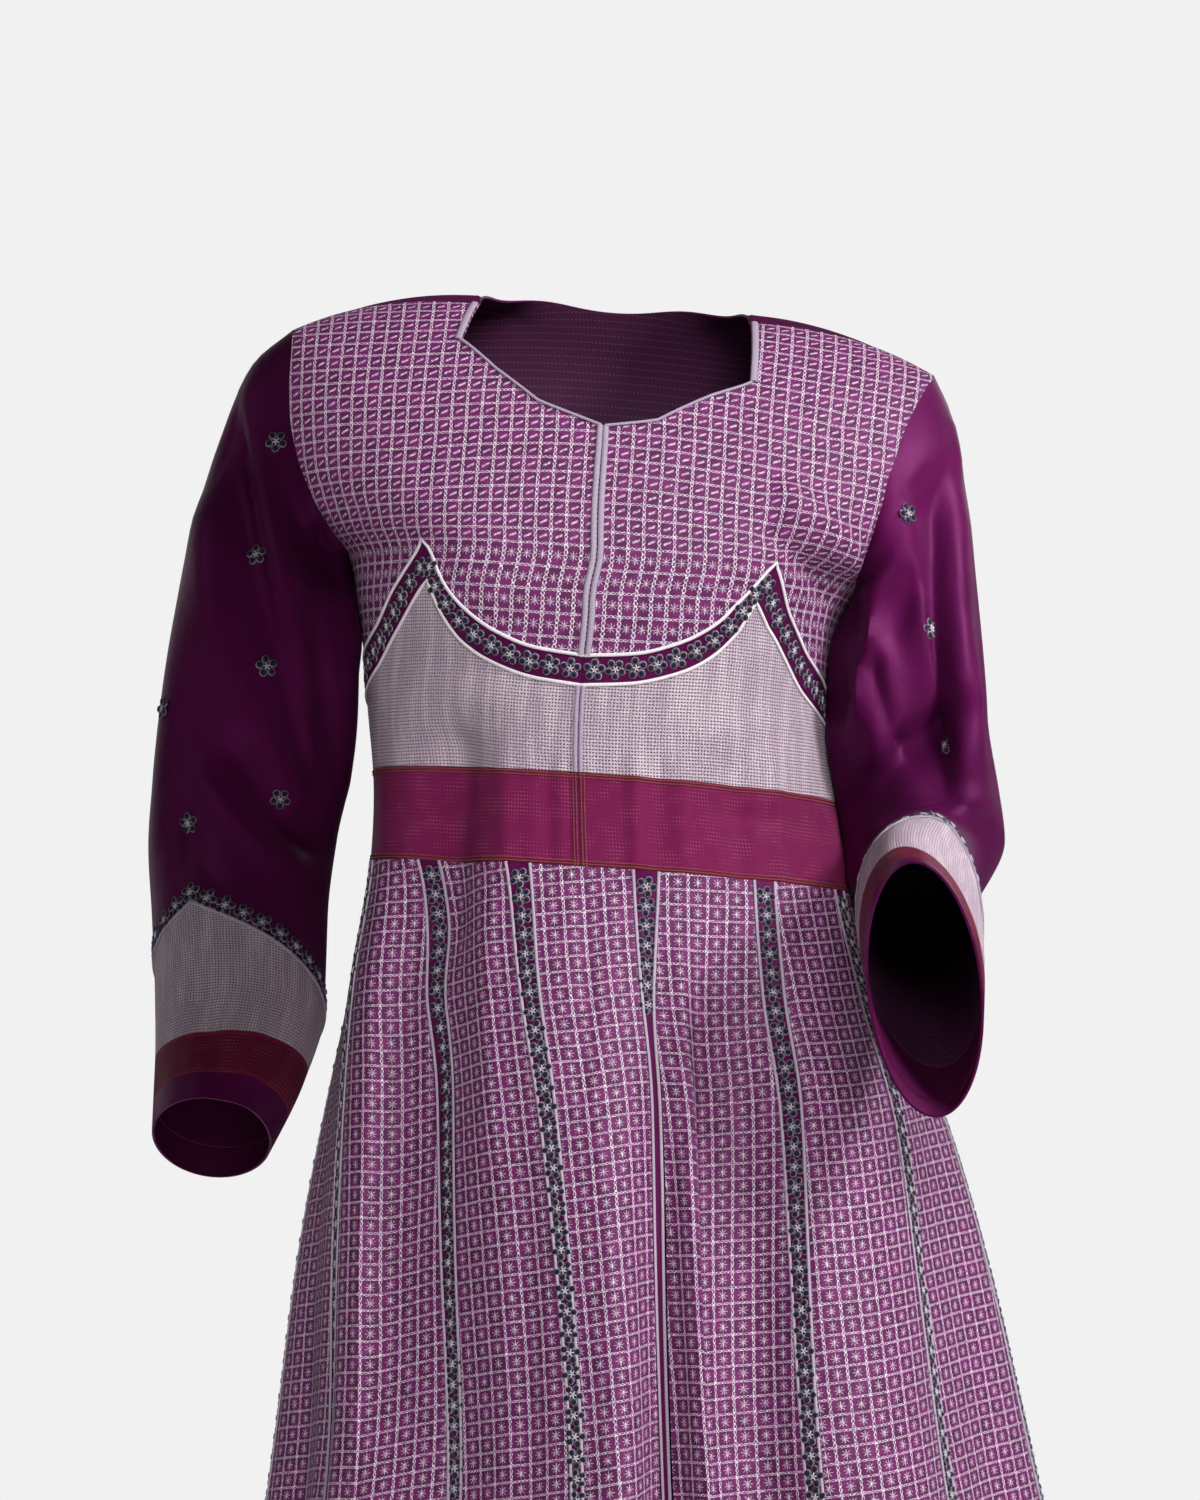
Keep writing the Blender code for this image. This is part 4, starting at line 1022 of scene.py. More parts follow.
lattice = {"step": 3.0, "keys": 70, "firstKey": 0.03, "lastDrop": 0.41, "zeroDrop": 0.188}
latticeAngles = np.arange(-180.0, 180.1, lattice["step"])
latticeKeys = np.linspace(lattice["firstKey"], keyOf(lattice["lastDrop"]), lattice["keys"])
latticePoints = np.array([[bodyPoint(a, k * k) for a in latticeAngles] for k in latticeKeys])
roundLength, downLength = lengthsAlong(latticePoints, 1), lengthsAlong(latticePoints, 0)
roundLength -= roundLength[:, len(latticeAngles) // 2][:, None]


def measured(table, angles, keys):
    i = np.clip((keys - latticeKeys[0]) / (latticeKeys[1] - latticeKeys[0]), 0, len(latticeKeys) - 1.001)
    j = np.clip((angles + 180) / lattice["step"], 0, len(latticeAngles) - 1.001)
    a, b = i.astype(int), j.astype(int)
    s, t = i - a, j - b
    return ((1 - s) * (1 - t) * table[a, b] + s * (1 - t) * table[a + 1, b]
            + (1 - s) * t * table[a, b + 1] + s * t * table[a + 1, b + 1])


zeroKeys = np.full_like(latticeAngles, keyOf(lattice["zeroDrop"]))
downLength -= measured(downLength, latticeAngles, zeroKeys)[None]


def torsoUv(places):
    angles, keys = places[:, :, 0], places[:, :, 1]
    if (keys < 0).mean() > 0.5:
        u = measured(roundLength, angles, np.abs(keys))
        v = measured(downLength, angles, np.abs(keys))
    else:  # behind, round from the centre back
        u = np.sign(angles) * (measured(roundLength, np.full_like(angles, 180.0), np.abs(keys))
                               - measured(roundLength, 180 - np.abs(angles), np.abs(keys)))
        v = measured(downLength, 180 - np.abs(angles), np.abs(keys))
    return uvGrid(u, v)


def uvGrid(u, v):
    return np.stack(np.broadcast_arrays(u, v), axis=2)


# Creases, listed by their run on the cloth; face -1 is the front, 1 the back

bodiceCreases = (
    # face  x0      z0      x1      z1     width   depth    bow
    (-1, 0.112, -0.142, 0.192, -0.208, 0.0120, 0.0090, 0.006),
    (-1, 0.104, -0.168, 0.166, -0.228, 0.0080, -0.0070, 0.006),
    (-1, 0.190, -0.100, 0.130, -0.150, 0.0080, -0.0024, 0.006),
    (-1, 0.182, -0.080, 0.120, -0.125, 0.0090, -0.0022, 0.005),
    (-1, -0.200, -0.130, -0.150, -0.165, 0.0080, -0.0018, -0.004),
    (-1, -0.030, -0.150, 0.030, -0.160, 0.0100, -0.0014, 0.004),
    (-1, -0.120, -0.265, -0.020, -0.285, 0.0075, -0.0016, 0.006),
    (-1, 0.130, -0.235, 0.060, -0.275, 0.0075, -0.0018, -0.006),
    (-1, -0.155, -0.300, -0.060, -0.318, 0.0070, 0.0016, 0.004),
    (-1, 0.150, -0.300, 0.050, -0.322, 0.0070, 0.0015, -0.004),
    (-1, -0.150, -0.372, -0.060, -0.360, 0.0060, -0.0020, 0.003),
    (-1, 0.155, -0.378, 0.060, -0.366, 0.0060, -0.0018, -0.003),
    (-1, -0.0970, -0.285, -0.1220, -0.500, 0.0220, -0.0180, 0.002),
    (-1, -0.066, -0.315, -0.064, -0.426, 0.0060, 0.0018, 0.001),
    (-1, -0.036, -0.318, -0.034, -0.424, 0.0080, -0.0024, 0.001, 0.6),
    (-1, -0.021, -0.326, -0.021, -0.414, 0.0045, -0.0018, 0.001),
    (-1, 0.0225, -0.318, 0.024, -0.426, 0.0050, 0.0032, 0.001),
    (-1, 0.039, -0.318, 0.040, -0.426, 0.0060, -0.0022, 0.001),
    (-1, 0.054, -0.318, 0.056, -0.426, 0.0050, 0.0022, 0.001),
    (-1, 0.090, -0.318, 0.096, -0.430, 0.0120, -0.0034, 0.002, 0.6),
    (-1, 0.118, -0.318, 0.124, -0.430, 0.0060, 0.0026, 0.001),
    (1, -0.150, -0.110, -0.060, -0.180, 0.0100, -0.0028, 0.006),
    (1, 0.160, -0.120, 0.060, -0.190, 0.0100, -0.0028, -0.006),
    (1, -0.120, -0.230, 0.000, -0.262, 0.0090, -0.0024, 0.008),
    (1, 0.130, -0.250, 0.020, -0.290, 0.0090, -0.0024, -0.008),
    (1, -0.130, -0.305, 0.010, -0.318, 0.0070, 0.0018, 0.006),
    (1, 0.120, -0.370, -0.020, -0.362, 0.0060, -0.0018, 0.004),
)
skirtCreases = (
    (-1, -0.1080, -0.370, -0.2380, -1.300, 0.0300, -0.0240, 0.000, 1.3),
    (-1, -0.118, -0.404, -0.128, -0.620, 0.0070, 0.0030, 0.006),
    (-1, -0.075, -0.402, -0.068, -0.640, 0.0080, 0.0028, -0.004),
    (-1, -0.052, -0.520, -0.050, -1.280, 0.0100, -0.0030, 0.006),
    (-1, -0.010, -0.400, -0.015, -0.580, 0.0070, -0.0026, 0.004),
    (-1, 0.014, -0.404, 0.010, -1.300, 0.0160, 0.0048, 0.004),
    (-1, 0.0385, -0.500, 0.062, -1.280, 0.0080, -0.0048, 0.000),
    (-1, 0.056, -0.410, 0.074, -0.900, 0.0070, 0.0030, -0.004),
    (-1, 0.070, -0.404, 0.112, -1.300, 0.0240, -0.0210, 0.000, 1.25),
    (-1, 0.118, -0.406, 0.150, -0.760, 0.0070, 0.0030, 0.006),
    (-1, 0.140, -0.404, 0.192, -1.300, 0.0200, 0.0060, -0.014),
    (-1, -0.170, -0.520, -0.206, -1.300, 0.0120, -0.0046, 0.000),
    (-1, -0.160, -0.560, -0.168, -1.250, 0.0120, 0.0036, 0.008),
    (-1, 0.210, -0.560, 0.250, -1.200, 0.0120, -0.0040, 0.008),
    (1, -0.120, -0.405, -0.150, -0.680, 0.0100, -0.0036, 0.010),
    (1, -0.040, -0.405, -0.045, -0.640, 0.0090, 0.0030, -0.008),
    (1, 0.050, -0.405, 0.060, -0.700, 0.0100, -0.0034, 0.010),
    (1, 0.120, -0.410, 0.150, -0.640, 0.0090, 0.0030, -0.008),
    (1, -0.100, -0.760, -0.110, -1.260, 0.0140, -0.0044, 0.012),
    (1, 0.090, -0.700, 0.110, -1.200, 0.0140, 0.0044, -0.012),
    (1, 0.200, -0.600, 0.240, -1.050, 0.0130, -0.0040, 0.010),
)
waistCreases = bodiceCreases + skirtCreases
sleeveCreases = {
    # face  x0      z0      x1      z1     width   depth    bow
    -1: (
        (-1, -0.2640, -0.050, -0.1780, -0.395, 0.0240, -0.0150, -0.002, 0.28),
        (-1, -0.2560, -0.090, -0.1820, -0.380, 0.0042, 0.0046, -0.004),
        (-1, -0.2880, -0.110, -0.2400, -0.330, 0.0120, 0.0036, -0.004),
        (-1, -0.1980, -0.110, -0.1790, -0.375, 0.0130, -0.0100, 0.000, 0.4),
        (-1, -0.2130, -0.105, -0.1850, -0.330, 0.0060, 0.0050, 0.003),
        (-1, -0.2660, -0.305, -0.1800, -0.398, 0.0090, -0.0110, -0.006, 1.8),
        (-1, -0.2840, -0.325, -0.2060, -0.412, 0.0070, 0.0050, -0.004),
        (-1, -0.2960, -0.355, -0.2500, -0.425, 0.0080, -0.0030, -0.003),
        (-1, -0.2828, -0.368, -0.2863, -0.415, 0.0040, -0.0020, 0.000),
        (-1, -0.2750, -0.470, -0.2500, -0.580, 0.0080, -0.0022, 0.003),
        (-1, -0.2300, -0.500, -0.2350, -0.600, 0.0080, 0.0022, -0.003),
        (1, -0.2500, -0.100, -0.1950, -0.320, 0.0090, -0.0056, 0.006),
        (1, -0.2250, -0.110, -0.1850, -0.340, 0.0060, 0.0040, -0.005),
        (1, -0.2850, -0.180, -0.2500, -0.380, 0.0100, 0.0040, 0.004),
        (1, -0.2750, -0.340, -0.1950, -0.400, 0.0085, -0.0050, 0.005),
        (1, -0.2900, -0.390, -0.2150, -0.440, 0.0080, 0.0036, -0.004),
    ),
    1: (
        (-1, 0.2440, -0.100, 0.2370, -0.385, 0.0280, -0.0180, -0.002, 0.30),
        (-1, 0.2610, -0.120, 0.2630, -0.350, 0.0070, 0.0040, 0.003),
        (-1, 0.2600, -0.275, 0.1640, -0.372, 0.0090, -0.0140, -0.004, 2.0),
        (-1, 0.1790, -0.240, 0.2200, -0.350, 0.0090, -0.0080, -0.003),
        (-1, 0.1925, -0.185, 0.1640, -0.335, 0.0050, 0.0055, 0.005),
        (-1, 0.1580, -0.205, 0.1640, -0.315, 0.0080, -0.0060, 0.000),
        (-1, 0.1720, -0.392, 0.2850, -0.350, 0.0100, 0.0050, 0.003),
        (-1, 0.2160, -0.190, 0.1950, -0.255, 0.0090, -0.0044, 0.003),
        (-1, 0.2470, -0.080, 0.2530, -0.128, 0.0040, 0.0024, 0.002),
        (-1, 0.2080, -0.136, 0.2300, -0.114, 0.0030, 0.0020, 0.001),
        (-1, 0.1880, -0.178, 0.2040, -0.160, 0.0030, 0.0018, 0.001),
        (1, 0.2400, -0.110, 0.2050, -0.300, 0.0090, -0.0056, 0.006),
        (1, 0.2150, -0.130, 0.1750, -0.310, 0.0060, 0.0044, -0.005),
        (1, 0.2560, -0.200, 0.2500, -0.340, 0.0090, 0.0036, 0.004),
        (1, 0.2600, -0.320, 0.1850, -0.370, 0.0090, -0.0050, 0.004),
    ),
}


# Where a sleeve hangs against the dress, its cloth lies nearly on the bodice's side
contact = {
    "gap": 0.0012, "near": 0.008, "far": 0.020, "angles": (60.0, 121.0, 1.0), "drops": (0.172, 0.424, 0.002),
    "turn": 75.0, "turnFade": 30.0,
    # z where it starts, is full, fades and ends, and what is left of it there
    -1: (-0.172, -0.184, -0.238, -0.265, 0.45), 1: (-0.200, -0.212, -0.400, -0.430, 0.0),
}


def contactPlaces(side):
    # the bodice's side as a cloud of places with their normals
    found = []
    for angle in np.arange(*contact["angles"]):
        for drop in np.arange(*contact["drops"]):
            here, ahead, below = (Vector(bodyPoint(side * a, d))
                                  for a, d in ((angle, drop), (angle + 0.5, drop), (angle, drop + 0.002)))
            normal = (ahead - here).cross(below - here).normalized()
            found.append((here, -normal if normal.x * side < 0 else normal))
    places = kdtree.KDTree(len(found))
    for number, (here, _) in enumerate(found):
        places.insert(here, number)
    places.balance()
    return places, found


def restedOnSide(points, angles, side):
    places, found = contactPlaces(side)
    start, full, fade, end, left = contact[side]
    moved = points.copy()
    for j, angle in enumerate(angles):
        turned = eased((contact["turn"] - abs(angle - 180)) / contact["turnFade"])
        for i in range(len(points)):
            z = points[i, j, 2]
            faded = 1 - (1 - left) * eased((fade - z) / (fade - end))
            share = turned * eased((start - z) / (start - full)) * faded
            if share > 0:
                here, normal = found[places.find(Vector(points[i, j]))[1]]
                away = (Vector(points[i, j]) - here).dot(normal)
                reach = 1 - eased((away - contact["near"]) / (contact["far"] - contact["near"]))
                moved[i, j] -= np.array(normal) * max(0.0, away - contact["gap"]) * reach * share
    return moved


# Panels

cloth = {"embroidered": 0.0020, "satin": 0.0016, "braid": 0.0020}
fabrics = {
    # look outside, slot, thickness, look inside
    "satin": ("satin", "plum_satin", cloth["satin"], "reverse"),
    "yoke": ("yoke", "grid_embroidery", cloth["embroidered"], "reverse"),
    "gore": ("gore", "grid_embroidery", cloth["embroidered"], "reverse"),
    "floral": ("floral", "floral_embroidery", cloth["embroidered"], "reverse"),
    "pale": ("pale", "pale_embroidery", cloth["embroidered"], "reverse"),
    "braid": ("braid", "raspberry_braid", cloth["braid"], "reverse"),
    "cuffBraid": ("cuffBraid", "raspberry_braid", cloth["braid"], "facing"),
    "cuffHem": ("satin", "plum_satin", cloth["satin"], "facing"),
}


def cutOf(points, closed):
    # the flat size of a piece: its longest row by its longest column, and its whole area
    across = np.linalg.norm(np.diff(looped(points, 1) if closed else points, axis=1), axis=2)
    along = np.linalg.norm(np.diff(points, axis=0), axis=2)
    rows = across.sum(1)
    width, length = rows.max(), along.sum(0).max()
    area = ((rows[1:] + rows[:-1]) / 2 * along.mean(1)).sum()
    return (round(float(width), 4), round(float(length), 4)), round(float(min(area, width * length)), 5)


def sewPanel(node, points, normals, uv, fabric, trims=(), closed=False):
    outer, slot, thickness, inner = fabrics[fabric]
    looks = colours[outer], colours[inner]
    piece = clothWall(node + "_cloth", points, normals, thickness, uv, looks, closed)
    flat, area = cutOf(points, closed)
    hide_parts(node)
    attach(piece, "root")
    list(trims)
    return [piece, *trims]


# Bodice

bodice = {
    "fine": 4, "backFine": 3, "bandRows": 7, "panelRows": 21, "flowerPitch": 0.0139, "flowerStart": 0.0008,
    "cord": (0.0025, 0.0016), "panelBand": (0.0030, 0.0016), "bindingHeight": 0.0021, "inset": 0.0002,
    "cordLift": 0.0006, "bindingLift": 0.0010,
}
neckBindings = (
    # first and last stretch of the neck edge, width
    ("centre_front_band_", 0, 1, 0.0041), ("neckline_edge_", 1, 4, 0.0022), ("neck_binding_", 4, 5, 0.0050),
)


def torsoCloth(places):
    points = np.array([[torsoPoint(a, k) for a, k in row] for row in places])
    outward = points.copy()
    z = points[:, :, 2]
    outward[:, :, 2] = np.where(z > -0.10, z + 0.14, 0.0)  # up as well, over the shoulders
    return *finished(points, outward, waistCreases), torsoUv(places)


def between(first, last, rows):
    steps = np.linspace(0, 1, rows)[:, None, None]
    return first * (1 - steps) + last * steps


def frontHalf(side, hand):
    fine, inset = bodice["fine"], bodice["inset"]
    points, normals, uv = torsoCloth(yokePlaces(side) * (side, 1))
    bindings = []
    for label, first, last, width in neckBindings:
        rows = slice(sum(neckSegments[:first]) * fine, sum(neckSegments[:last]) * fine + 1)
        run = edgeRun(points, normals, (rows, 0), (rows, 1), width / 2 + inset, bodice["bindingLift"])
        bindings.append(cordOf(label + hand + "_cord", [run], width, bodice["bindingHeight"], "band"))
        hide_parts(label + hand)
    sewPanel("bodice_yoke_" + hand, points, normals, uv, "yoke", bindings)

    outer, inner = (np.array(scallopEdge(column, fine)) for column in (1, 2))
    points, normals, uv = torsoCloth(between(inner, outer, bodice["bandRows"]) * (side, 1))
    edges = [(points[row] + normals[row] * bodice["cordLift"], normals[row], False) for row in (0, -1)]
    cords = cordOf("bodice_band_cords_" + hand, edges, *bodice["cord"], "cord")
    row = bodice["bandRows"] // 2
    places = spaced(points[row], normals[row], bodice["flowerPitch"], bodice["flowerStart"], 0.0)
    blooms = flowersOf("bodice_band_flowers_" + hand, places, 1.0, 3 + side)
    sewPanel("bodice_floral_band_" + hand, points, normals, uv, "floral", (cords, blooms))

    waist = np.array([(a, -keyOf(dress["waistTop"])) for a in np.linspace(0, 90, len(inner))])
    points, normals, uv = torsoCloth(between(waist, inner, bodice["panelRows"]) * (side, 1))
    run = edgeRun(points, normals, *sideEdges[0], bodice["panelBand"][0] / 2 + inset, bodice["cordLift"])
    band = cordOf("pale_panel_band_" + hand, [run], *bodice["panelBand"], "band")
    sewPanel("bodice_pale_panel_" + hand, points, normals, uv, "pale", (band,))


def backBodice():
    fine = bodice["backFine"]
    tops = []
    for side in (-1, 1):
        shoulder = shoulderSeam(neckTurns[side], 14 * fine)[::-1]
        (angle, key), steps = shoulder[-1], 12 * fine
        turns = [math.pi / 2 * k / steps for k in range(1, steps + 1)]
        rise = keyOf(backNeckDrop) - key
        tops.append(shoulder + [(angle * math.cos(turn), key + rise * math.sin(turn)) for turn in turns])
    right, left = tops
    top = left + [(-a, b) for a, b in reversed(right[:-1])]
    levels = [dress["waistTop"], scallopRows[-1][2], scallopRows[-1][1], armholeRows[-1][1]]
    side = stretch([(90.0, keyOf(d)) for d in levels], (2 * fine, fine, 2 * fine))
    spare = len(top) - (len(side) - 1) * 2 - 1
    waist = [(a, keyOf(dress["waistTop"])) for a in np.linspace(90, -90, spare + 1)]
    foot = side[::-1] + waist[1:-1] + [(-a, b) for a, b in side]
    armhole = [(a, keyOf(d)) for a, d in armholeEdge("back", 10 * fine)]
    places = coonsPatch(foot, top, armhole, [(-a, b) for a, b in armhole])
    sewPanel("bodice_back", *torsoCloth(places), "satin")


frontHalf(-1, "right")
frontHalf(1, "left")
backBodice()
print("bodice made")


# Waistband

waistband = {
    "rows": 17, "cord": (0.0010, 0.0009),
    # how far in and up each red cord runs, beside the long edges and beside the front opening
    "longRuns": ((0.0012, 0.0004), (0.0032, 0.0003)), "endRuns": ((0.0016, 0.0004), (0.0038, 0.0003)),
}


def waistbandPieces():
    drops = np.linspace(dress["waistFoot"], dress["waistTop"], waistband["rows"])
    for node, first, last, ends in (("waistband_front_left", 0, 90, sideEdges[:1]),
                                    ("waistband_back", 90, 270, ()),
                                    ("waistband_front_right", 270, 360, sideEdges[1:])):
        angles = np.linspace(first, last, last - first + 1)
        points = np.array([[bodyPoint(a, d) for a in angles] for d in drops])
        points, normals = finished(points, points * (1, 1, 0), waistCreases)
        runs = [edgeRun(points, normals, *edge, inset, height)
                for edges, sizes in ((longEdges, waistband["longRuns"]), (ends, waistband["endRuns"]))
                for edge in edges for inset, height in sizes]
        cords = cordOf(node + "_edge_cords", runs, *waistband["cord"], "redCord", "raspberry_braid")
        uv = uvGrid(lengthsAlong(points[waistband["rows"] // 2]), (drops - dress["waistTop"])[:, None])
        sewPanel(node, points, normals, uv, "braid", (cords,))


waistbandPieces()
print("waistband made")


# Skirt

skirt = {
    "columns": 30, "stripColumns": 6, "rows": 90, "crowding": 1.08, "hemRows": 7, "hemColumns": 360,
    "tilt": 0.15, "flowerPitch": 0.0137, "flowerSize": 0.97, "flowerEnds": (0.004, 0.003),
    "cord": (0.0022, 0.0015), "cordInset": 0.45, "cordLift": 0.0005,
}
# the strip that a fold draws together: shares of the skirt's length, the width left, and the flowers' run
sunk = {"number": 0, "start": 0.0, "end": 0.14, "left": 0.50, "flowers": 0.100}
tilts = {0: 1.0, 1: 0.25, 2: 1.0, 10: 1.0, 11: 1.0}  # share of the tilt by which rows rise to the left
otherTilt = 0.8


def stripTrims(node, number, points, normals):
    inset = skirt["cord"][0] * skirt["cordInset"]
    runs = [edgeRun(points, normals, *edge, inset, skirt["cordLift"]) for edge in sideEdges]
    cords = cordOf(node + "_cords", runs, *skirt["cord"], "stripCord")
    middle = skirt["stripColumns"] // 2
    line, facings = points[:, middle], normals[:, middle]
    start, end = skirt["flowerEnds"]
    if number == sunk["number"]:
        end = lengthsAlong(line)[-1] - sunk["flowers"]
    places = spaced(line, facings, skirt["flowerPitch"], start, end)
    return cords, flowersOf(node + "_flowers", places, skirt["flowerSize"], 20 + number)


def skirtPieces():
    span = dress["length"] - dress["waistFoot"]
    foot = 1 - dress["hemBand"] / span
    shares = np.linspace(0, 1, skirt["rows"] + 1) ** skirt["crowding"] * foot

    def halfOf(number, share):
        drawn = (1 - sunk["left"]) * eased((share - sunk["start"]) / (sunk["end"] - sunk["start"]))
        return stripHalfAngle(share) * (1 - drawn if number % dress["gores"] == sunk["number"] else 1)

    def rowOf(start, end, columns, share):
        drop = dress["waistFoot"] + span * share
        return [skirtPoint(start + (end - start) * k / columns, drop) for k in range(columns + 1)]

    turn = 360 / dress["gores"]
    for number in range(dress["gores"]):
        middle = turn * (number + 0.5)
        for label, fabric, columns in (("gore_%02d", "gore", skirt["columns"]),
                                       ("floral_strip_%02d", "floral", skirt["stripColumns"])):
            points = []
            for share in shares:
                half, before = halfOf(number, share), halfOf(number - 1, share)
                start = middle - turn + before if fabric == "gore" else middle - half
                end = middle - half if fabric == "gore" else middle + half
                points.append(rowOf(start, end, columns, share))
            points = np.array(points)
            points, normals = finished(points, points * (1, 1, 0), waistCreases)
            across = lengthsAlong(points, 1)
            u = across - across[:, -1:] / 2
            down = lengthsAlong(points, 0).mean(axis=1, keepdims=True)
            uv = uvGrid(u, down + u * skirt["tilt"] * tilts.get(number, otherTilt))
            node = label % (number + 1)
            trims = stripTrims(node, number, points, normals) if fabric == "floral" else ()
            sewPanel(node, points, normals, uv, fabric, trims)

    points = np.array([rowOf(0, 360, skirt["hemColumns"], share)[:-1]
                       for share in np.linspace(foot, 1, skirt["hemRows"])])
    points, normals = finished(points, points * (1, 1, 0), waistCreases, True)
    v = np.linspace(0, dress["hemBand"], skirt["hemRows"])[:, None]
    uv = uvGrid(lengthsAlong(looped(points[skirt["hemRows"] // 2])), v)
    sewPanel("hem_band", points, normals, uv, "satin", closed=True)


skirtPieces()
print("skirt made")


# Sleeves

sleeve = {"columns": 96, "rows": 62, "flowerPitch": 0.0142, "flowerSize": 0.98, "singleSize": 1.02,
          "singleLift": 0.0005, "cord": (0.0027, 0.0017), "cordLift": 0.0006}
sleeveFlowers = {
    # single flowers: face, x, z
    -1: ((-1, -0.2261, -0.1015), (-1, -0.2366, -0.1834), (-1, -0.2310, -0.2639), (-1, -0.3052, -0.2870),
         (-1, -0.2198, -0.3521), (-1, -0.2842, -0.3717),
         (1, -0.2300, -0.1300), (1, -0.2650, -0.2150), (1, -0.2150, -0.2800), (1, -0.2700, -0.3500)),
    1: ((-1, 0.2135, -0.1561), (-1, 0.2296, -0.2366), (-1, 0.2401, -0.3185),
        (1, 0.2250, -0.1500), (1, 0.2000, -0.2300), (1, 0.2350, -0.3050)),
}


def singleFlowers(points, normals, side, hand):
    chosen = []
    for face, x, z in sleeveFlowers[side]:
        away = np.hypot(points[:, :, 0] - x, points[:, :, 2] - z) + (normals[:, :, 1] * face < 0.1) * 10
        chosen.append(np.unravel_index(away.argmin(), away.shape))
    rows, columns = np.transpose(chosen)
    places = points[rows, columns], normals[rows, columns], points[rows - 1, columns] - points[rows, columns]
    return flowersOf("sleeve_flowers_" + hand, places, sleeve["singleSize"], 50 + side, sleeve["singleLift"])


def sleevePieces(side, hand):
    surface = sleeveSurface(side)
    angles = np.linspace(0, 360, sleeve["columns"] + 1)[:-1]
    away = abs((angles - cuff["peakAngle"] + 180) % 360 - 180) / 180
    peaks = cuff["top"] + cuff["fall"] * away ** cuff["power"]
    starts = np.zeros(len(angles))
    made = []
    for label, first, last, rows, fabric in (
            ("sleeve_", starts, peaks, sleeve["rows"], "satin"),
            ("cuff_floral_band_", peaks, peaks + cuff["flowers"], 4, "floral"),
            ("cuff_pale_panel_", peaks + cuff["flowers"], starts + cuff["braidTop"], 12, "pale"),
            ("cuff_braid_", starts + cuff["braidTop"], starts + cuff["braidFoot"], 5, "cuffBraid"),
            ("cuff_hem_", starts + cuff["braidFoot"], starts + cuff["end"][side], 4, "cuffHem")):
        along = first[None] + (last - first)[None] * np.linspace(0, 1, rows + 1)[:, None]
        points = np.array([[surface(a, s) for a, s in zip(angles, row)] for row in along])
        rested = (lambda bare: restedOnSide(bare, angles, side)) if label == "sleeve_" else None
        outward = points - points.mean(axis=1, keepdims=True)
        points, normals = finished(points, outward, sleeveCreases[side], True, rested)
        v = looped(along, 1) - (cuff["braidTop"] if label == "cuff_braid_" else 0)
        trims = []
        if label == "sleeve_":
            trims = [singleFlowers(points, normals, side, hand)]
        elif label == "cuff_floral_band_":
            places = spaced(points[rows // 2], normals[rows // 2], sleeve["flowerPitch"], 0.0, 0.0, True)
            trims = [flowersOf("cuff_flowers_" + hand, places, sleeve["flowerSize"], 60 + side)]
        elif label == "cuff_pale_panel_":
            run = points[0] + normals[0] * sleeve["cordLift"], normals[0], True
            trims = [cordOf("cuff_cord_" + hand, [run], *sleeve["cord"], "greyCord")]
        uv = uvGrid(lengthsAlong(looped(points[rows // 2])), v)
        made += sewPanel(label + hand, points, normals, uv, fabric, trims, True)
    return made


shadedArm = sleevePieces(-1, "right")
litArm = sleevePieces(1, "left")
print("sleeves made")


# Floor, light and camera

studio = {
    "backdrop": "#f1f1f1", "room": "#f4f3f6", "ambient": 0.06, "floor": "#efefef", "floorLevel": -1.398,
    "floorReach": 7.0, "glow": 0.5, "lens": 110.0, "camera": (0.0, -3.2, -0.6), "aim": (0.0, 0.0, -0.315),
}
lamps = {
    # place, aim, size, power
    "key": ((2.60, -1.70, 1.45), (0.0, 0.0, -0.40), 0.9, 120.0),
    "front": ((0.45, -2.95, 1.0), (0.0, 0.0, -0.40), 1.2, 69.0),
    "arm": ((-2.7, -1.2, 1.3), (-0.2, 0.0, -0.30), 0.5, 7.0),
    "fill": ((-2.4, -2.0, 0.2), (0.0, 0.0, -0.4), 2.0, 7.0),
    "rim": ((1.6, 1.8, 0.9), (0.0, 0.0, -0.4), 1.2, 8.0),
    "back fill": ((-1.8, 2.0, 0.6), (0.0, 0.0, -0.5), 2.0, 7.0),
}
lampUses = (
    # the share of its power with which a lamp lights some pieces only, or all but those
    ("key", "", 1.0, "EXCLUDE", shadedArm),
    ("key", " on the shaded arm", 0.02, "INCLUDE", shadedArm),
    ("key", " on the lit arm", 0.80, "INCLUDE", litArm),
    ("front", "", 1.0, "EXCLUDE", shadedArm + litArm),
    ("front", " on the shaded arm", 0.02, "INCLUDE", shadedArm),
    ("front", " on the lit arm", 0.22, "INCLUDE", litArm),
    ("arm", "", 1.0, "INCLUDE", shadedArm),
    ("fill", "", 1.0, "EXCLUDE", shadedArm),
    ("fill", " on the shaded arm", 0.7, "INCLUDE", shadedArm),
    ("rim", "", 1.0, None, ()),
    ("back fill", "", 1.0, None, ()),
)


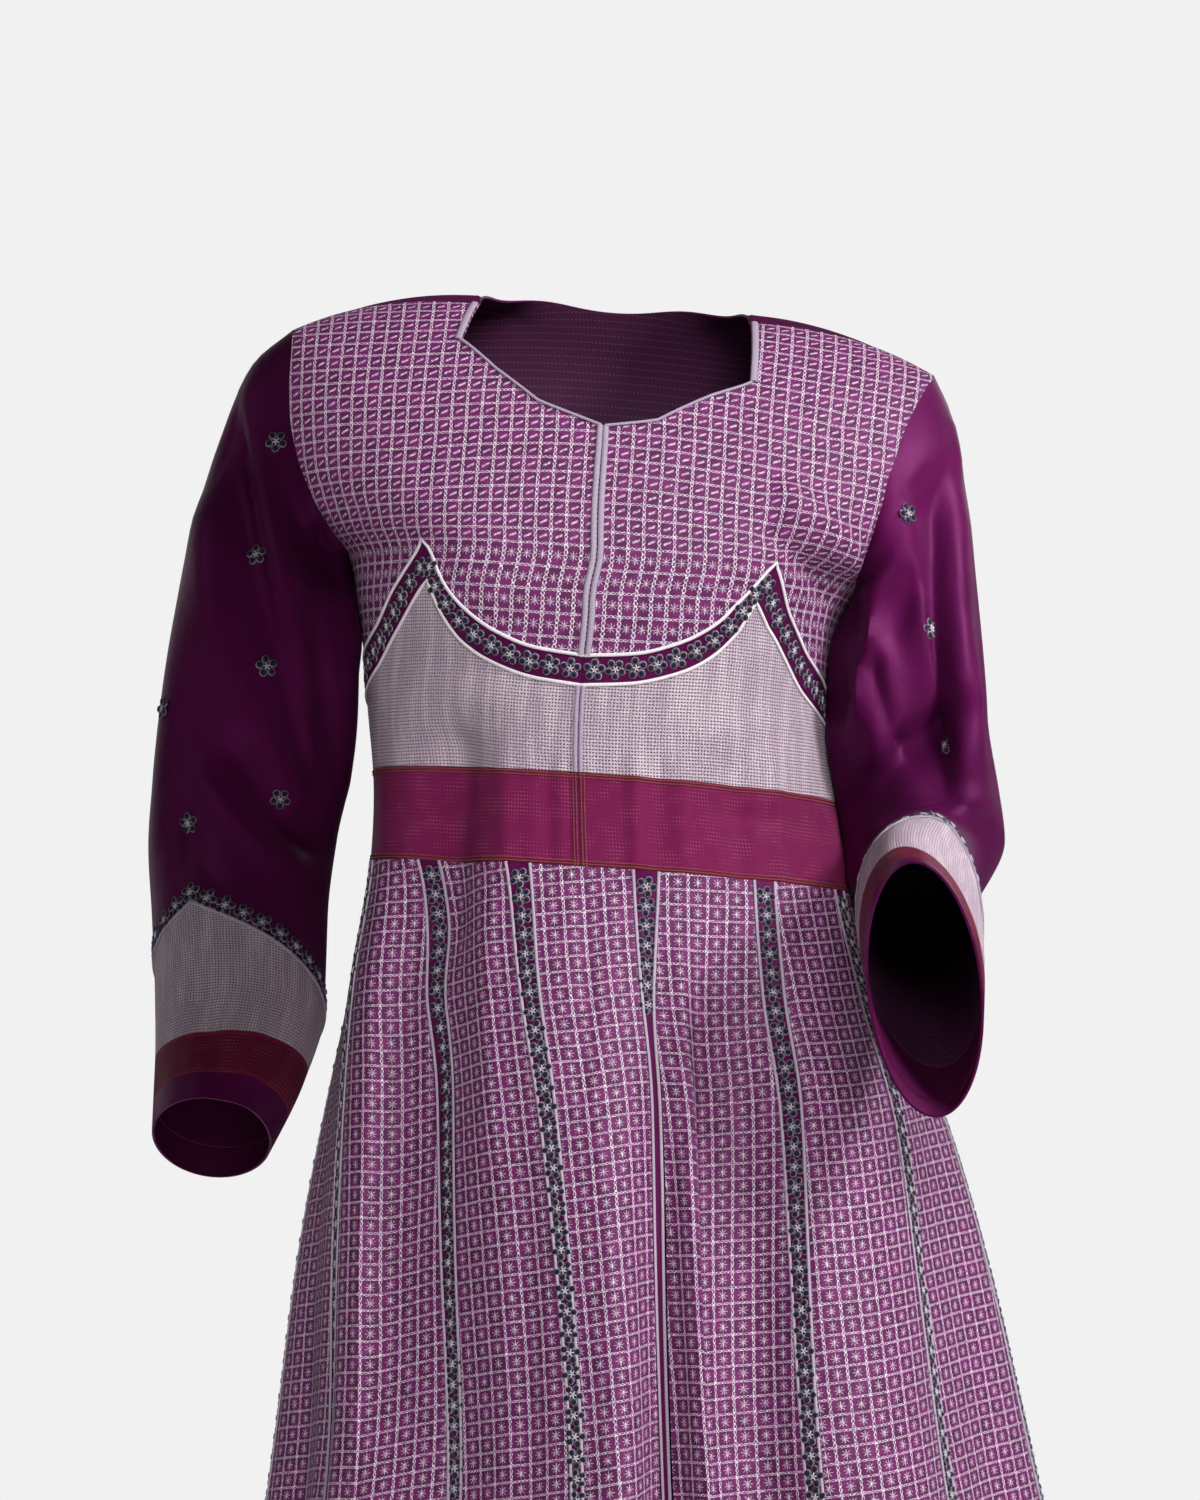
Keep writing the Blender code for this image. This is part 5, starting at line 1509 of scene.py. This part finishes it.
def makeLamps():
    for name, ending, share, state, pieces in lampUses:
        place, aim, size, power = lamps[name]
        lamp = bpy.data.lights.new(name + ending, "AREA")
        lamp.shape, lamp.size, lamp.energy = "SQUARE", size, power * share
        light = linked(name + ending, lamp)
        light.location = place
        light.rotation_euler = (Vector(aim) - Vector(place)).to_track_quat("-Z", "Y").to_euler()
        if state:
            lit = bpy.data.collections.new(name + ending)
            for piece in pieces:
                lit.objects.link(piece)
            for item in lit.collection_objects:
                item.light_linking.link_state = state
            light.light_linking.receiver_collection = lit


def makeFloor():
    reach, level = studio["floorReach"], studio["floorLevel"]
    mesh = bpy.data.meshes.new("floor")
    corners = [(-reach, -reach, level), (reach, -reach, level), (reach, reach, level), (-reach, reach, level)]
    mesh.from_pydata(corners, [], [(0, 1, 2, 3)])
    matte = bpy.data.materials.new("studio floor, painted")
    matte.use_nodes = True
    tree = matte.node_tree
    glow = addNode(tree, "ShaderNodeLightPath", out="Is Camera Ray") * studio["glow"]
    setInputs(tree, tree.nodes["Principled BSDF"], {
        "Base Color": linear(studio["floor"]), "Roughness": 0.85,
        "Emission Color": linear(studio["floor"]), "Emission Strength": glow})
    mesh.materials.append(matte)
    linked("floor", mesh)


def makeWorld():
    world = bpy.data.worlds.new("studio")
    bpy.context.scene.world = world
    world.use_nodes = True
    tree = world.node_tree
    tree.nodes.clear()
    seen = addNode(tree, "ShaderNodeBackground", {0: linear(studio["backdrop"]), 1: 1.0})
    room = addNode(tree, "ShaderNodeBackground", {0: linear(studio["room"]), 1: studio["ambient"]})
    camera = addNode(tree, "ShaderNodeLightPath", out="Is Camera Ray")
    mixed = addNode(tree, "ShaderNodeMixShader", {0: camera, 1: room, 2: seen})
    addNode(tree, "ShaderNodeOutputWorld", {0: mixed})


def makeCamera():
    lens = bpy.data.cameras.new("camera")
    lens.lens, lens.sensor_width = studio["lens"], 36.0
    camera = linked("camera", lens)
    camera.location = studio["camera"]
    camera.rotation_euler = (Vector(studio["aim"]) - camera.location).to_track_quat("-Z", "Y").to_euler()
    bpy.context.scene.camera = camera
    bpy.context.scene.view_settings.view_transform = "Standard"


makeFloor()
makeWorld()
makeLamps()
makeCamera()

print("studio made")
